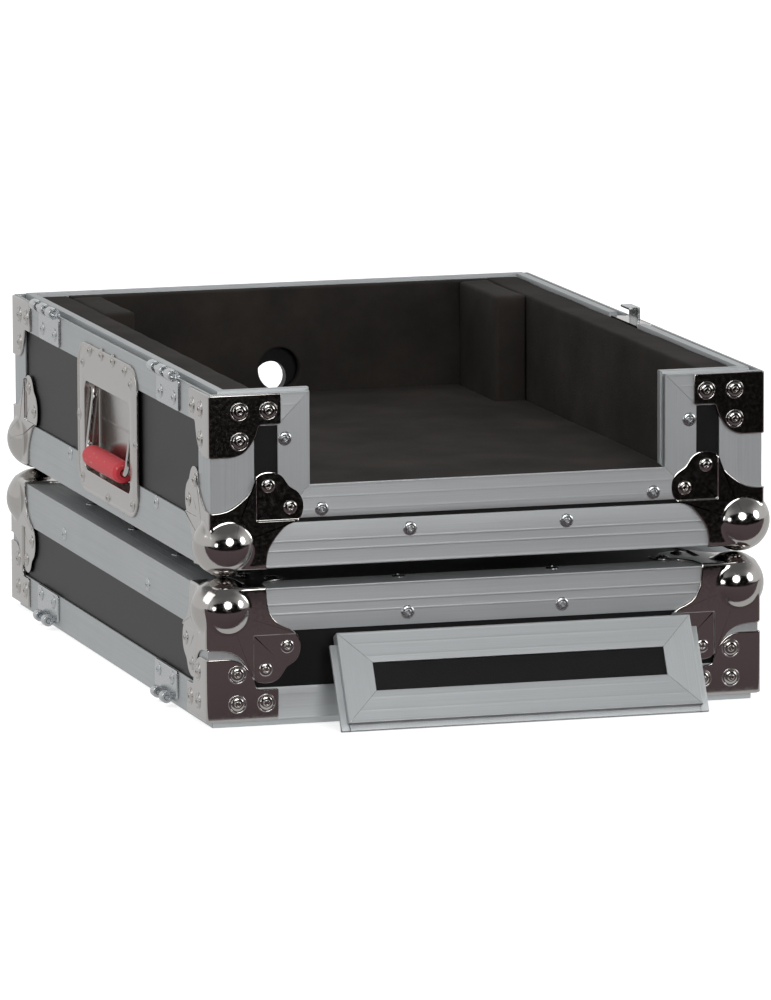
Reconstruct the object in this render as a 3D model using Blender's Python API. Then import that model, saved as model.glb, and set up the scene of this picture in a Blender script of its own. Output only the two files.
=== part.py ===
"""Mixer flight case, opened out: the tray stands on top of its lid, and the front flap leans on the lid."""

import math

import bmesh
import bpy
from mathutils import Matrix, Vector
from mathutils.geometry import interpolate_bezier

# Outside of the case, measured over the edging, in metres
WIDTH = 0.382
DEPTH = 0.526
TRAY_HEIGHT = 0.1165
LID_HEIGHT = 0.0925
STACK_SHIFT = 0.0025
GAP = 0.0003

# Sheet stock
SHEET = 0.0015
PLY = 0.0089
BEAD = 0.0004
BEAD_WIDTH = 0.0012

# Edging and rims
EDGING = 0.030
EDGING_BEADS = (0.011, 0.0175)
RIM_FLANGE = 0.022
RIM_BEADS = (0.0086, 0.0173)
RIM_DEPTH = 0.0125
RIM_LEG = 0.0098
GROOVE = (0.0016, 0.0068)
GROOVE_DEPTH = 0.0044
LIP_RISE = 0.0014
TONGUE = (0.0037, 0.0063)
TONGUE_LENGTH = 0.0042

# Cut-out in the tray's front and the flap that fills it
CUTOUT_WIDTH = 0.246
CUTOUT_DEPTH = 0.0625
FLAP_WIDTH = 0.2452
FLAP_HEIGHT = 0.0631
FLAP_RAIL = 0.0217
FLAP_THICKNESS = 0.0095
FLAP_SIDE_TONGUE = 0.0048
FLAP_TONGUE_DROP = 0.0072
FLAP_LEAN = math.radians(28)
FLAP_OFFSET = 0.0165
FLAP_CLEAR = 0.0024

# Stacking ball corners and rim brackets
CORNER_SHEET = 0.0016
BALL_RADIUS = 0.01815
BALL_INSET = 0.0113
BALL_VERTEX = 0.006
LOBE_NEAR = 0.0393
LOBE_FAR = 0.0535
LOBE_RADIUS = 0.0092
PLATE_REACH = 0.0396
BRACKET_BASE = 0.0006
BRACKET_LENGTH = 0.0482
BRACKET_HEIGHT = 0.0425
BRACKET_LEG = 0.0212
BRACKET_RIVETS = ((0.0193, 0.012), (0.0388, 0.012), (0.0193, 0.0318))

# Rivets
RIVET_RADIUS = 0.0045
RIVET_RISE = 0.0014
RIVET_SIDES = 6

# Foam lining
FOAM = 0.010
SIDE_FOAM = 0.025
FLOOR_FOAM = 0.030
FOAM_DROP = 0.001
FOAM_SHOULDER_DROP = 0.0103
BLOCK_WIDTH = 0.022
BLOCK_LENGTH = 0.0914
BLOCK_DROP = 0.001

# Hole for leads: a wide hole in the rear foam, over a smaller one in the panel
FOAM_HOLE_RADIUS = 0.01525
FOAM_HOLE_X = -0.002
FOAM_HOLE_DROP = 0.0594
PANEL_HOLE_RADIUS = 0.0115
PANEL_HOLE_X = -0.0056
PANEL_HOLE_DROP = 0.0663

# Drop handle on the left side
DISH_WIDTH = 0.160
DISH_TOP = 0.0075
DISH_BOTTOM = 0.1115
DISH_CORNER = 0.019
WINDOW_WIDTH = 0.122
WINDOW_TOP = 0.034
WINDOW_BOTTOM = 0.096
WINDOW_DEPTH = 0.014
PIVOT_DROP = 0.0390
PAN_CORNER = 0.003
PIVOT_DEPTH = 0.0045
BAIL_RADIUS = 0.0025
BAIL_SPAN = 0.106
BAIL_BEND = 0.008
GRIP_DROP = 0.084
GRIP_OUT = 0.001
GRIP_RADIUS = 0.0078
GRIP_LENGTH = 0.088
PIN_HOLE_CLEARANCE = 0.0004
SPRING_RADIUS = 0.0034
SPRING_WIRE = 0.0004
SPRING_PITCH = 0.00125
SPRING_EIGHTHS = 16

# Lift-off hinges on the left side
HINGE_OFFSET = 0.160
LEAF_WIDTH = 0.056
TRAY_LEAF_HEIGHT = 0.0215
LID_LEAF = (0.0035, 0.0225)
HINGE_RISE = 0.0026
KNUCKLE_RADIUS = 0.004
KNUCKLE_OUT = 0.0046
TRAY_KNUCKLES = (-0.022, 0.0, 0.022)
TRAY_KNUCKLE_LENGTH = 0.012
LID_KNUCKLES = (-0.011, 0.011)
LID_KNUCKLE_LENGTH = 0.008
HINGE_PIN_RADIUS = 0.0015
HINGE_PIN_LENGTH = 0.0015
LEAF_RIVETS = (-0.017, 0.017)

# Butterfly latch on the right side
LATCH_PLATE = 0.105
LATCH_DROP = 0.074
LATCH_PAN = 0.064
LATCH_PAN_DROP = 0.062
LATCH_PAN_DEPTH = 0.0122
LATCH_AXIS_DROP = 0.032
CAM_RADIUS = 0.014
CAM_SHAFT_RADIUS = 0.0045
HOOK_WIDTH = 0.020
HOOK_FOOT_WIDTH = 0.026
HOOK_TRAVEL = 0.008
HOOK_RISE = 0.0097
HOOK_DEPTHS = (0.0035, 0.0053)
HOOK_LIP = 0.0115
WING_RADIUS = 0.0265
WING_DEPTHS = (0.0005, 0.0027)
WING_NECK = 0.0078
HUB_HALF = 0.007
STRIKE_HEIGHT = 0.042
STRIKE_PAN_HEIGHT = 0.032

HALF_W = WIDTH / 2
HALF_D = DEPTH / 2
TRAY_LIFT = LID_HEIGHT + 0.014
PANEL_FACE = SHEET + GAP
PANEL_BACK = PANEL_FACE + PLY
FOAM_FACE = PANEL_BACK + GAP
SKIN = (-CORNER_SHEET, -GAP)

case = bpy.data.collections.new("mixer_flight_case")
cutters = bpy.data.collections.new("cutters")
FINISHES = {}
PARENTS = {}


def clear_scene():
    for item in list(bpy.data.objects):
        bpy.data.objects.remove(item, do_unlink=True)
    bpy.context.scene.collection.children.link(case)
    bpy.context.scene.collection.children.link(cutters)
    cutters.hide_render = True


def finish(name, colour, roughness, metallic):
    """A Principled material with one colour."""
    material = bpy.data.materials.new(name)
    material.use_nodes = True
    shader = material.node_tree.nodes["Principled BSDF"]
    shader.inputs["Base Color"].default_value = (*colour, 1.0)
    shader.inputs["Roughness"].default_value = roughness
    shader.inputs["Metallic"].default_value = metallic
    FINISHES[name] = material


def empty(name, location, parent=None):
    marker = bpy.data.objects.new(name, None)
    marker.empty_display_size = 0.03
    marker.location = location
    marker.parent = parent
    case.objects.link(marker)
    PARENTS[name] = marker
    return marker


def piece(name, mesh, parent, material):
    """One named sub-part. Its mesh is in the frame of its parent empty."""
    thing = bpy.data.objects.new(name, mesh)
    thing.data.materials.clear()
    thing.data.materials.append(FINISHES[material])
    thing.parent = PARENTS[parent]
    case.objects.link(thing)
    return thing


def cut(thing, mesh):
    """Takes the space of a mesh, in the same frame as the piece, out of that piece."""
    cutter = bpy.data.objects.new("cut_" + thing.name, mesh)
    cutter.parent = thing.parent
    cutter.hide_render = True
    cutter.display_type = "WIRE"
    cutters.objects.link(cutter)
    modifier = thing.modifiers.new("opening", "BOOLEAN")
    modifier.operation = "DIFFERENCE"
    modifier.object = cutter


def finished_mesh(make):
    """Runs a bmesh maker and returns the mesh with its faces turned outwards."""
    bm = bmesh.new()
    make(bm)
    bmesh.ops.remove_doubles(bm, verts=bm.verts, dist=1e-7)
    bmesh.ops.recalc_face_normals(bm, faces=bm.faces)
    mesh = bpy.data.meshes.new("shape")
    bm.to_mesh(mesh)
    bm.free()
    return mesh


def box(low, high):
    """A box between two opposite corners."""
    low, high = Vector(low), Vector(high)

    def make(bm):
        bmesh.ops.create_cube(bm, size=1.0)
        bmesh.ops.scale(bm, vec=high - low, verts=bm.verts)
        bmesh.ops.translate(bm, vec=(low + high) / 2, verts=bm.verts)

    return finished_mesh(make)


def rod(start, end, radius, sides=16, tip_radius=None):
    """A cylinder, or with a tip radius a cone frustum, between two points."""
    start, end = Vector(start), Vector(end)
    along = end - start
    turn = along.to_track_quat("Z", "Y").to_matrix().to_4x4()

    def make(bm):
        bmesh.ops.create_cone(
            bm,
            cap_ends=True,
            segments=sides,
            radius1=radius,
            radius2=radius if tip_radius is None else tip_radius,
            depth=along.length,
            matrix=Matrix.Translation((start + end) / 2) @ turn,
        )

    return finished_mesh(make)


def ball(centre, radius, around=16, up=10):
    def make(bm):
        bmesh.ops.create_uvsphere(
            bm, u_segments=around, v_segments=up, radius=radius, matrix=Matrix.Translation(centre)
        )

    return finished_mesh(make)


def prism(outline, low, high, axis):
    """A flat outline filled and given thickness along an axis. X takes (y, z) points, Y (x, z), Z (x, y)."""
    frames = {
        "X": Matrix(((0, 0, 1), (1, 0, 0), (0, 1, 0))),
        "Y": Matrix(((1, 0, 0), (0, 0, -1), (0, 1, 0))),
        "Z": Matrix.Identity(3),
    }
    curve = bpy.data.curves.new("outline", "CURVE")
    curve.dimensions = "2D"
    curve.fill_mode = "BOTH"
    curve.extrude = (high - low) / 2
    spline = curve.splines.new("POLY")
    spline.points.add(len(outline) - 1)
    for point, (across, up) in zip(spline.points, outline):
        point.co = (across, up, 0.0, 1.0)
    spline.use_cyclic_u = True
    holder = bpy.data.objects.new("outline", curve)
    bpy.context.scene.collection.objects.link(holder)
    bpy.context.view_layer.update()
    flat = bpy.data.meshes.new_from_object(holder.evaluated_get(bpy.context.evaluated_depsgraph_get()))
    bpy.data.objects.remove(holder, do_unlink=True)
    bpy.data.curves.remove(curve)
    middle = frames[axis].to_4x4()
    middle.translation = [(low + high) / 2 if name == axis else 0.0 for name in "XYZ"]

    def make(bm):
        bm.from_mesh(flat)
        bmesh.ops.transform(bm, matrix=middle, verts=bm.verts)
        bmesh.ops.remove_doubles(bm, verts=bm.verts, dist=1e-6)

    return finished_mesh(make)


def loft(sections, closed=False):
    """Skins a row of equal sections, as the mitred lengths of an extrusion; an open row gets end caps."""

    def make(bm):
        rings = [[bm.verts.new(point) for point in section] for section in sections]
        pairs = list(zip(rings, rings[1:]))
        if closed:
            pairs.append((rings[-1], rings[0]))
        for first, second in pairs:
            for i in range(len(first)):
                j = (i + 1) % len(first)
                bm.faces.new((first[i], first[j], second[j], second[i]))
        if not closed:
            bm.faces.new(rings[0])
            bm.faces.new(rings[-1])

    return finished_mesh(make)


def tube(points, radius, resolution=1):
    """A round wire through a row of points."""
    curve = bpy.data.curves.new("wire", "CURVE")
    curve.dimensions = "3D"
    curve.bevel_depth = radius
    curve.bevel_resolution = resolution
    curve.use_fill_caps = True
    spline = curve.splines.new("POLY")
    spline.points.add(len(points) - 1)
    for point, place in zip(spline.points, points):
        point.co = (*place, 1.0)
    holder = bpy.data.objects.new("wire", curve)
    bpy.context.scene.collection.objects.link(holder)
    bpy.context.view_layer.update()
    round_mesh = bpy.data.meshes.new_from_object(
        holder.evaluated_get(bpy.context.evaluated_depsgraph_get())
    )
    bpy.data.objects.remove(holder, do_unlink=True)
    bpy.data.curves.remove(curve)

    def make(bm):
        bm.from_mesh(round_mesh)
        bmesh.ops.remove_doubles(bm, verts=bm.verts, dist=1e-6)

    return finished_mesh(make)


def combine(first, second, operation):
    """The Boolean of two meshes, as a new mesh."""
    holders = [bpy.data.objects.new("shape", mesh) for mesh in (first, second)]
    for holder in holders:
        bpy.context.scene.collection.objects.link(holder)
    modifier = holders[0].modifiers.new("shape", "BOOLEAN")
    modifier.operation = operation
    modifier.object = holders[1]
    bpy.context.view_layer.update()
    graph = bpy.context.evaluated_depsgraph_get()
    result = bpy.data.meshes.new_from_object(holders[0].evaluated_get(graph))
    for holder in holders:
        bpy.data.objects.remove(holder, do_unlink=True)
    return result


def fused(*meshes):
    whole = meshes[0]
    for mesh in meshes[1:]:
        whole = combine(whole, mesh, "UNION")
    return whole


def carved(whole, *meshes):
    for mesh in meshes:
        whole = combine(whole, mesh, "DIFFERENCE")
    return whole


def moved(mesh, matrix):
    copy = mesh.copy()
    copy.transform(matrix)
    if matrix.determinant() < 0:
        copy.flip_normals()
    return copy


def arc(centre, radius, start, end, steps):
    """Points on an arc, with its angles in degrees."""
    angles = [math.radians(start + (end - start) * i / steps) for i in range(steps + 1)]
    return [(centre[0] + radius * math.cos(a), centre[1] + radius * math.sin(a)) for a in angles]


def bend(start, first, second, end, steps=5):
    """Points on a cubic curve between two points, with their two handles."""
    handles = [Vector((*point, 0.0)) for point in (start, first, second, end)]
    return [(point.x, point.y) for point in interpolate_bezier(*handles, steps + 1)]


def rounded(low, high, radius, steps=3):
    """A rectangle with round corners, anticlockwise from its lower right corner."""
    corners = (
        ((high[0] - radius, low[1] + radius), -90),
        ((high[0] - radius, high[1] - radius), 0),
        ((low[0] + radius, high[1] - radius), 90),
        ((low[0] + radius, low[1] + radius), 180),
    )
    outline = []
    for centre, start in corners:
        outline += arc(centre, radius, start, start + 90, steps)
    return outline


def rivet(place, outward):
    """A domed rivet head standing on a skin, with its foot sunk half a millimetre into it."""
    place, outward = Vector(place), Vector(outward)
    return rod(
        place - outward * 0.0005,
        place + outward * RIVET_RISE,
        RIVET_RADIUS,
        RIVET_SIDES,
        tip_radius=RIVET_RADIUS * 0.45,
    )


def riveted(mesh, places, outward):
    return fused(mesh, *(rivet(place, outward) for place in places))


def beaded(outline_start, outline_end, beads):
    """The outer face of an extrusion as (depth, height) points: level with its beads, sunk between them."""
    points = [(0.0, outline_start)]
    direction = 1 if outline_end > outline_start else -1
    half = direction * BEAD_WIDTH / 2
    trough = (BEAD, BEAD * 1.15, BEAD * 1.05)
    points += [(0.0, outline_start + 2 * half), (trough[0], outline_start + 3 * half)]
    for i, height in enumerate(beads):
        crest = BEAD * (0.12 - 0.07 * i)
        points += [
            (trough[i], height - 2 * half),
            (crest, height - half),
            (crest, height + half),
            (trough[i + 1], height + 2 * half),
        ]
    points += [(trough[2], outline_end - 3 * half), (0.0, outline_end - 2 * half), (0.0, outline_end)]
    return points


# Profiles, each a closed row of (depth from the outer face, height from the parting line)
FEMALE = beaded(-RIM_FLANGE, 0.0, (-RIM_BEADS[1], -RIM_BEADS[0])) + [
    (GROOVE[0], 0.0),
    (GROOVE[0], -GROOVE_DEPTH),
    (GROOVE[1], -GROOVE_DEPTH),
    (GROOVE[1], LIP_RISE),
    (RIM_DEPTH, LIP_RISE),
    (RIM_DEPTH, -0.0095),
    (RIM_DEPTH - SHEET, -0.0095),
    (RIM_DEPTH - SHEET, -0.006),
    (SHEET, -0.006),
    (SHEET, -RIM_FLANGE),
]
MALE = beaded(RIM_FLANGE, 0.0, (RIM_BEADS[1], RIM_BEADS[0])) + [
    (TONGUE[0], 0.0),
    (TONGUE[0], -TONGUE_LENGTH),
    (TONGUE[1], -TONGUE_LENGTH),
    (TONGUE[1], LIP_RISE + 0.0004),
    (RIM_DEPTH, LIP_RISE + 0.0004),
    (RIM_DEPTH, 0.010),
    (RIM_DEPTH - SHEET, 0.010),
    (RIM_DEPTH - SHEET, 0.006),
    (SHEET, 0.006),
    (SHEET, RIM_FLANGE),
]


def angle_profile():
    """An L with beads on both outer faces, its corner at the origin."""
    upright = beaded(EDGING, 0.0, (EDGING_BEADS[1], EDGING_BEADS[0]))
    flat = [(height, depth) for depth, height in beaded(0.0, EDGING, EDGING_BEADS)]
    return upright + flat[1:] + [(EDGING, SHEET), (SHEET, SHEET), (SHEET, EDGING)]


ANGLE = angle_profile()


def corner_section(profile, side_x, side_y, z, up=1):
    """A profile standing in the mitre plane of one corner of the case."""
    return [
        (side_x * (HALF_W - depth), side_y * (HALF_D - depth), z + up * height)
        for depth, height in profile
    ]


def ring(profile, z, up=1):
    """A profile carried round all four sides of the case."""
    corners = ((-1, -1), (1, -1), (1, 1), (-1, 1))
    return loft([corner_section(profile, sx, sy, z, up) for sx, sy in corners], closed=True)


def shifted(section, dx=0.0, dy=0.0, dz=0.0):
    return [(x + dx, y + dy, z + dz) for x, y, z in section]


def corner_angle(z_low, z_high):
    """The upright angle at the front left corner, sunk a hair so that its faces clear those it joins."""
    sunk = 0.00005
    outline = [(depth - HALF_W + sunk, height - HALF_D + sunk) for depth, height in ANGLE]
    return prism(outline, z_low, z_high, "Z")


def ball_corner_mesh():
    """A pressed stacking corner on the corner at the origin: three lobed plates and the ball on them."""
    reach, near, far, r = PLATE_REACH, LOBE_NEAR, LOBE_FAR, LOBE_RADIUS
    edge = -CORNER_SHEET
    lobe = arc((far, near), r, -80, 75, 5)
    run = bend((reach, 0.006), (reach, 0.020), (0.0490, 0.0245), lobe[0], 4)
    first = [(edge, edge), (reach, edge)] + run + lobe[1:]
    outline = first + [(b, a) for a, b in reversed(first[1:])]
    rivets = ((near, far), (far, near))
    plates = []
    for axis, place in (
        ("X", lambda a, b: (-CORNER_SHEET, a, b)),
        ("Y", lambda a, b: (a, -CORNER_SHEET, b)),
        ("Z", lambda a, b: (a, b, -CORNER_SHEET)),
    ):
        plate = prism(outline, *SKIN, axis)
        outward = {"X": (-1, 0, 0), "Y": (0, -1, 0), "Z": (0, 0, -1)}[axis]
        plates.append(riveted(plate, [place(a, b) for a, b in rivets], outward))
    skin = fused(*plates)
    skin = carved(skin, box((-0.01,) * 3, (BALL_INSET - 0.002,) * 3))
    inside = carved(
        box((-GAP,) * 3, (0.06,) * 3),
        box((-0.01,) * 3, (BALL_VERTEX - GAP,) * 3),
    )
    panels = box((SHEET,) * 3, (0.06,) * 3)
    dome = carved(ball((BALL_INSET,) * 3, BALL_RADIUS, 14, 9), inside, panels)
    return fused(skin, dome)


def bracket_mesh():
    """A pressed rim bracket round the corner at the origin, with its rivets, reaching up from z = 0."""
    edge = -CORNER_SHEET
    low, high = BRACKET_BASE, BRACKET_HEIGHT
    outline = [(edge, low), (BRACKET_LENGTH, low), (BRACKET_LENGTH, BRACKET_LEG)]
    outline += bend((0.0345, BRACKET_LEG), (0.0322, 0.0214), (0.0318, 0.026), (0.0292, 0.0307), 3)
    outline += bend((0.0275, 0.033), (0.0235, 0.0385), (0.0190, high), (0.0100, high), 4)
    outline += [(edge, high)]
    front = prism(outline, *SKIN, "Y")
    side = prism(outline, *SKIN, "X")
    front = riveted(front, [(a, edge, b) for a, b in BRACKET_RIVETS], (0, -1, 0))
    side = riveted(side, [(edge, a, b) for a, b in BRACKET_RIVETS], (-1, 0, 0))
    return fused(front, side)


CORNER_NAMES = ("front_left", "front_right", "rear_right", "rear_left")
CORNER_SIGNS = ((-1, -1), (1, -1), (1, 1), (-1, 1))


def corner_copies(stem, mesh, parent, z, upside_down, material):
    """Four objects that share a mesh, one on each corner of the case."""
    for index, (name, (sx, sy)) in enumerate(zip(CORNER_NAMES, CORNER_SIGNS)):
        turn = Matrix.Rotation(math.radians(90) * index, 4, "Z")
        if upside_down:
            over = Matrix.Rotation(math.pi, 4, Vector((1, 1, 0)))
            turn = turn @ over
        thing = piece(stem + name, mesh, parent, material)
        thing.matrix_local = Matrix.Translation((sx * HALF_W, sy * HALF_D, z)) @ turn


def build_lid():
    parting = TONGUE_LENGTH
    top = LID_HEIGHT
    inner_top = top - PANEL_BACK
    side_low = parting + 0.006 + GAP
    x, y = HALF_W - PANEL_FACE, HALF_D - PANEL_FACE
    xi, yi = HALF_W - PANEL_BACK, HALF_D - PANEL_BACK
    high = inner_top - GAP
    piece("lid_top_panel", box((-x, -y, inner_top), (x, y, top - PANEL_FACE)), "lid", "black_laminate")
    piece("lid_front_wall", box((-x, -y, side_low), (x, -yi, high)), "lid", "black_laminate")
    piece("lid_rear_wall", box((-x, yi, side_low), (x, y, high)), "lid", "black_laminate")
    low_y, high_y = -yi + GAP, yi - GAP
    piece("lid_left_wall", box((-x, low_y, side_low), (-xi, high_y, high)), "lid", "black_laminate")
    right = piece("lid_right_wall", box((xi, low_y, side_low), (x, high_y, high)), "lid", "black_laminate")

    frame = ring(ANGLE, top, up=-1)
    upright = corner_angle(parting + RIM_FLANGE + GAP, top - EDGING + 0.0011)
    for sx, sy in CORNER_SIGNS:
        mirror = Matrix.Diagonal((-sx, -sy, 1, 1))
        frame = fused(frame, moved(upright, mirror))
    vertex = BALL_VERTEX
    for sx, sy in CORNER_SIGNS:
        spot = (sx * HALF_W, sy * HALF_D)
        frame = carved(
            frame,
            box(
                (spot[0] - vertex, spot[1] - vertex, top - vertex),
                (spot[0] + vertex, spot[1] + vertex, top + vertex),
            ),
        )
    piece("lid_edging", frame, "lid", "brushed_aluminium")

    rim = piece("lid_rim", ring(MALE, parting), "lid", "brushed_aluminium")
    corner_copies("lid_ball_", BALL_MESH, "lid", top, True, "chrome")
    corner_copies("lid_bracket_", BRACKET_MESH, "lid", parting, False, "chrome")

    pad_x, pad_y = HALF_W - RIM_DEPTH - 0.001, HALF_D - RIM_DEPTH - 0.001
    pad = box((-pad_x, -pad_y, inner_top - GAP - FOAM), (pad_x, pad_y, inner_top - GAP))
    piece("lid_pad", pad, "lid", "dark_foam")

    half_pan = LATCH_PAN / 2
    depth = 0.0085
    plate_low = parting + 0.0005
    plate = prism(
        rounded((-LATCH_PLATE / 2, plate_low), (LATCH_PLATE / 2, parting + STRIKE_HEIGHT), 0.006),
        HALF_W + GAP,
        HALF_W + CORNER_SHEET,
        "X",
    )
    pan_top = parting + STRIKE_PAN_HEIGHT
    pan = box((HALF_W - depth, -half_pan, plate_low), (HALF_W + CORNER_SHEET - 0.0002, half_pan, pan_top))
    hollow = box(
        (HALF_W - depth + 0.0012, -half_pan + 0.0012, parting - 0.01),
        (HALF_W + 0.01, half_pan - 0.0012, pan_top - 0.0012),
    )
    keeper = box((HALF_W - depth, -0.014, parting + 0.012), (HALF_W - 0.0005, 0.014, parting + 0.0145))
    spots = [(HALF_W + CORNER_SHEET, s * 0.042, parting + h) for s in (-1, 1) for h in (0.010, 0.034)]
    dish = riveted(fused(carved(fused(plate, pan), hollow), keeper), spots, (1, 0, 0))
    piece("lid_strike_dish", dish, "lid", "chrome")
    clearance = box(
        (HALF_W - 0.02, -half_pan - GAP, -0.01),
        (HALF_W + 0.01, half_pan + GAP, pan_top + GAP),
    )
    cut(right, clearance)
    cut(rim, clearance)

    for name, side in (("front", -1), ("rear", 1)):
        centre = side * HINGE_OFFSET
        leaf = box(
            (-HALF_W - CORNER_SHEET, centre - LEAF_WIDTH / 2, parting + LID_LEAF[0]),
            (-HALF_W - GAP, centre + LEAF_WIDTH / 2, parting + LID_LEAF[1]),
        )
        for offset in LID_KNUCKLES:
            y0 = centre + offset - LID_KNUCKLE_LENGTH / 2
            y1 = y0 + LID_KNUCKLE_LENGTH
            axis_x, axis_z = -HALF_W - KNUCKLE_OUT, parting + HINGE_RISE
            barrel = rod((axis_x, y0, axis_z), (axis_x, y1, axis_z), KNUCKLE_RADIUS, 12)
            strap_top = parting + LID_LEAF[0] + 0.001
            strap = box((-HALF_W - CORNER_SHEET, y0, axis_z), (-HALF_W - GAP, y1, strap_top))
            pin_end = y1 + HINGE_PIN_LENGTH
            pin = rod((axis_x, y0 + 0.001, axis_z), (axis_x, pin_end, axis_z), HINGE_PIN_RADIUS, 8)
            leaf = fused(leaf, strap, barrel, pin)
        spots = [(-HALF_W - CORNER_SHEET, centre + offset, parting + 0.0165) for offset in LEAF_RIVETS]
        piece(f"lid_hinge_leaf_{name}", riveted(leaf, spots, (-1, 0, 0)), "lid", "zinc_plate")


def build_tray_shell():
    top = TRAY_HEIGHT
    wall_high = top - 0.006 - GAP
    wall_low = PANEL_BACK + GAP
    x, y = HALF_W - PANEL_FACE, HALF_D - PANEL_FACE
    xi, yi = HALF_W - PANEL_BACK, HALF_D - PANEL_BACK
    low_y, high_y = -yi + GAP, yi - GAP
    sill = top - CUTOUT_DEPTH
    half_cut = CUTOUT_WIDTH / 2

    piece("tray_floor_panel", box((-x, -y, PANEL_FACE), (x, y, PANEL_BACK)), "tray", "black_laminate")
    front = piece("tray_front_wall", box((-x, -y, wall_low), (x, -yi, wall_high)), "tray", "black_laminate")
    cut(
        front,
        box((-half_cut - 0.0063, -HALF_D - 0.01, sill - 0.0063), (half_cut + 0.0063, -yi + 0.01, top + 0.01)),
    )
    rear = piece("tray_rear_wall", box((-x, yi, wall_low), (x, y, wall_high)), "tray", "black_laminate")
    hole_z = top - PANEL_HOLE_DROP
    ends = [(PANEL_HOLE_X, HALF_D + dy, hole_z) for dy in (-0.04, 0.01)]
    cut(rear, rod(*ends, PANEL_HOLE_RADIUS, 24))
    left = box((-x, low_y, wall_low), (-xi, high_y, wall_high))
    left = piece("tray_left_wall", left, "tray", "black_laminate")
    right = box((xi, low_y, wall_low), (x, high_y, wall_high))
    right = piece("tray_right_wall", right, "tray", "black_laminate")

    edging = ring(ANGLE, 0.0)
    for sx, sy in CORNER_SIGNS:
        spot = (sx * HALF_W, sy * HALF_D)
        vertex = BALL_VERTEX
        edging = carved(
            edging,
            box((spot[0] - vertex, spot[1] - vertex, -vertex), (spot[0] + vertex, spot[1] + vertex, vertex)),
        )
    edging = piece("tray_bottom_edging", edging, "tray", "brushed_aluminium")

    upright = corner_angle(EDGING + GAP, top - RIM_FLANGE - GAP)
    for name, (sx, sy) in zip(CORNER_NAMES, CORNER_SIGNS):
        shape = moved(upright, Matrix.Diagonal((-sx, -sy, 1, 1)))
        piece("tray_corner_edging_" + name, shape, "tray", "brushed_aluminium")

    half_gap = GAP / 2
    rear_left = corner_section(FEMALE, -1, 1, top)
    rear_right = corner_section(FEMALE, 1, 1, top)
    front_left = corner_section(FEMALE, -1, -1, top)
    front_right = corner_section(FEMALE, 1, -1, top)
    run = loft([shifted(front_left, dy=half_gap), shifted(rear_left, dy=-half_gap)])
    piece("tray_rim_left", run, "tray", "brushed_aluminium")
    run = loft([shifted(rear_left, dx=half_gap), shifted(rear_right, dx=-half_gap)])
    piece("tray_rim_rear", run, "tray", "brushed_aluminium")
    half_pan = LATCH_PAN / 2 + GAP
    for name, end, side in (("front", front_right, -1), ("rear", rear_right, 1)):
        square = [(px, side * half_pan, pz) for px, py, pz in end]
        run = loft([square, shifted(end, dy=-side * half_gap)])
        piece(f"tray_rim_right_{name}", run, "tray", "brushed_aluminium")

    for name, end, side in (("left", front_left, -1), ("right", front_right, 1)):
        turn = [(side * (half_cut - h), -HALF_D + depth, top + h) for depth, h in FEMALE]
        foot = [(side * (half_cut - h), -HALF_D + depth, sill + h + GAP) for depth, h in FEMALE]
        run = loft([shifted(end, dx=-side * half_gap), turn, foot])
        piece(f"cutout_post_{name}", run, "tray", "brushed_aluminium")
    ends = [[(side * (half_cut - h), -HALF_D + depth, sill + h) for depth, h in FEMALE] for side in (-1, 1)]
    piece("cutout_sill", loft(ends), "tray", "brushed_aluminium")

    corner_copies("tray_ball_", BALL_MESH, "tray", 0.0, False, "chrome")
    corner_copies("tray_bracket_", BRACKET_MESH, "tray", top, True, "chrome")
    return edging, left, right


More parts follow.
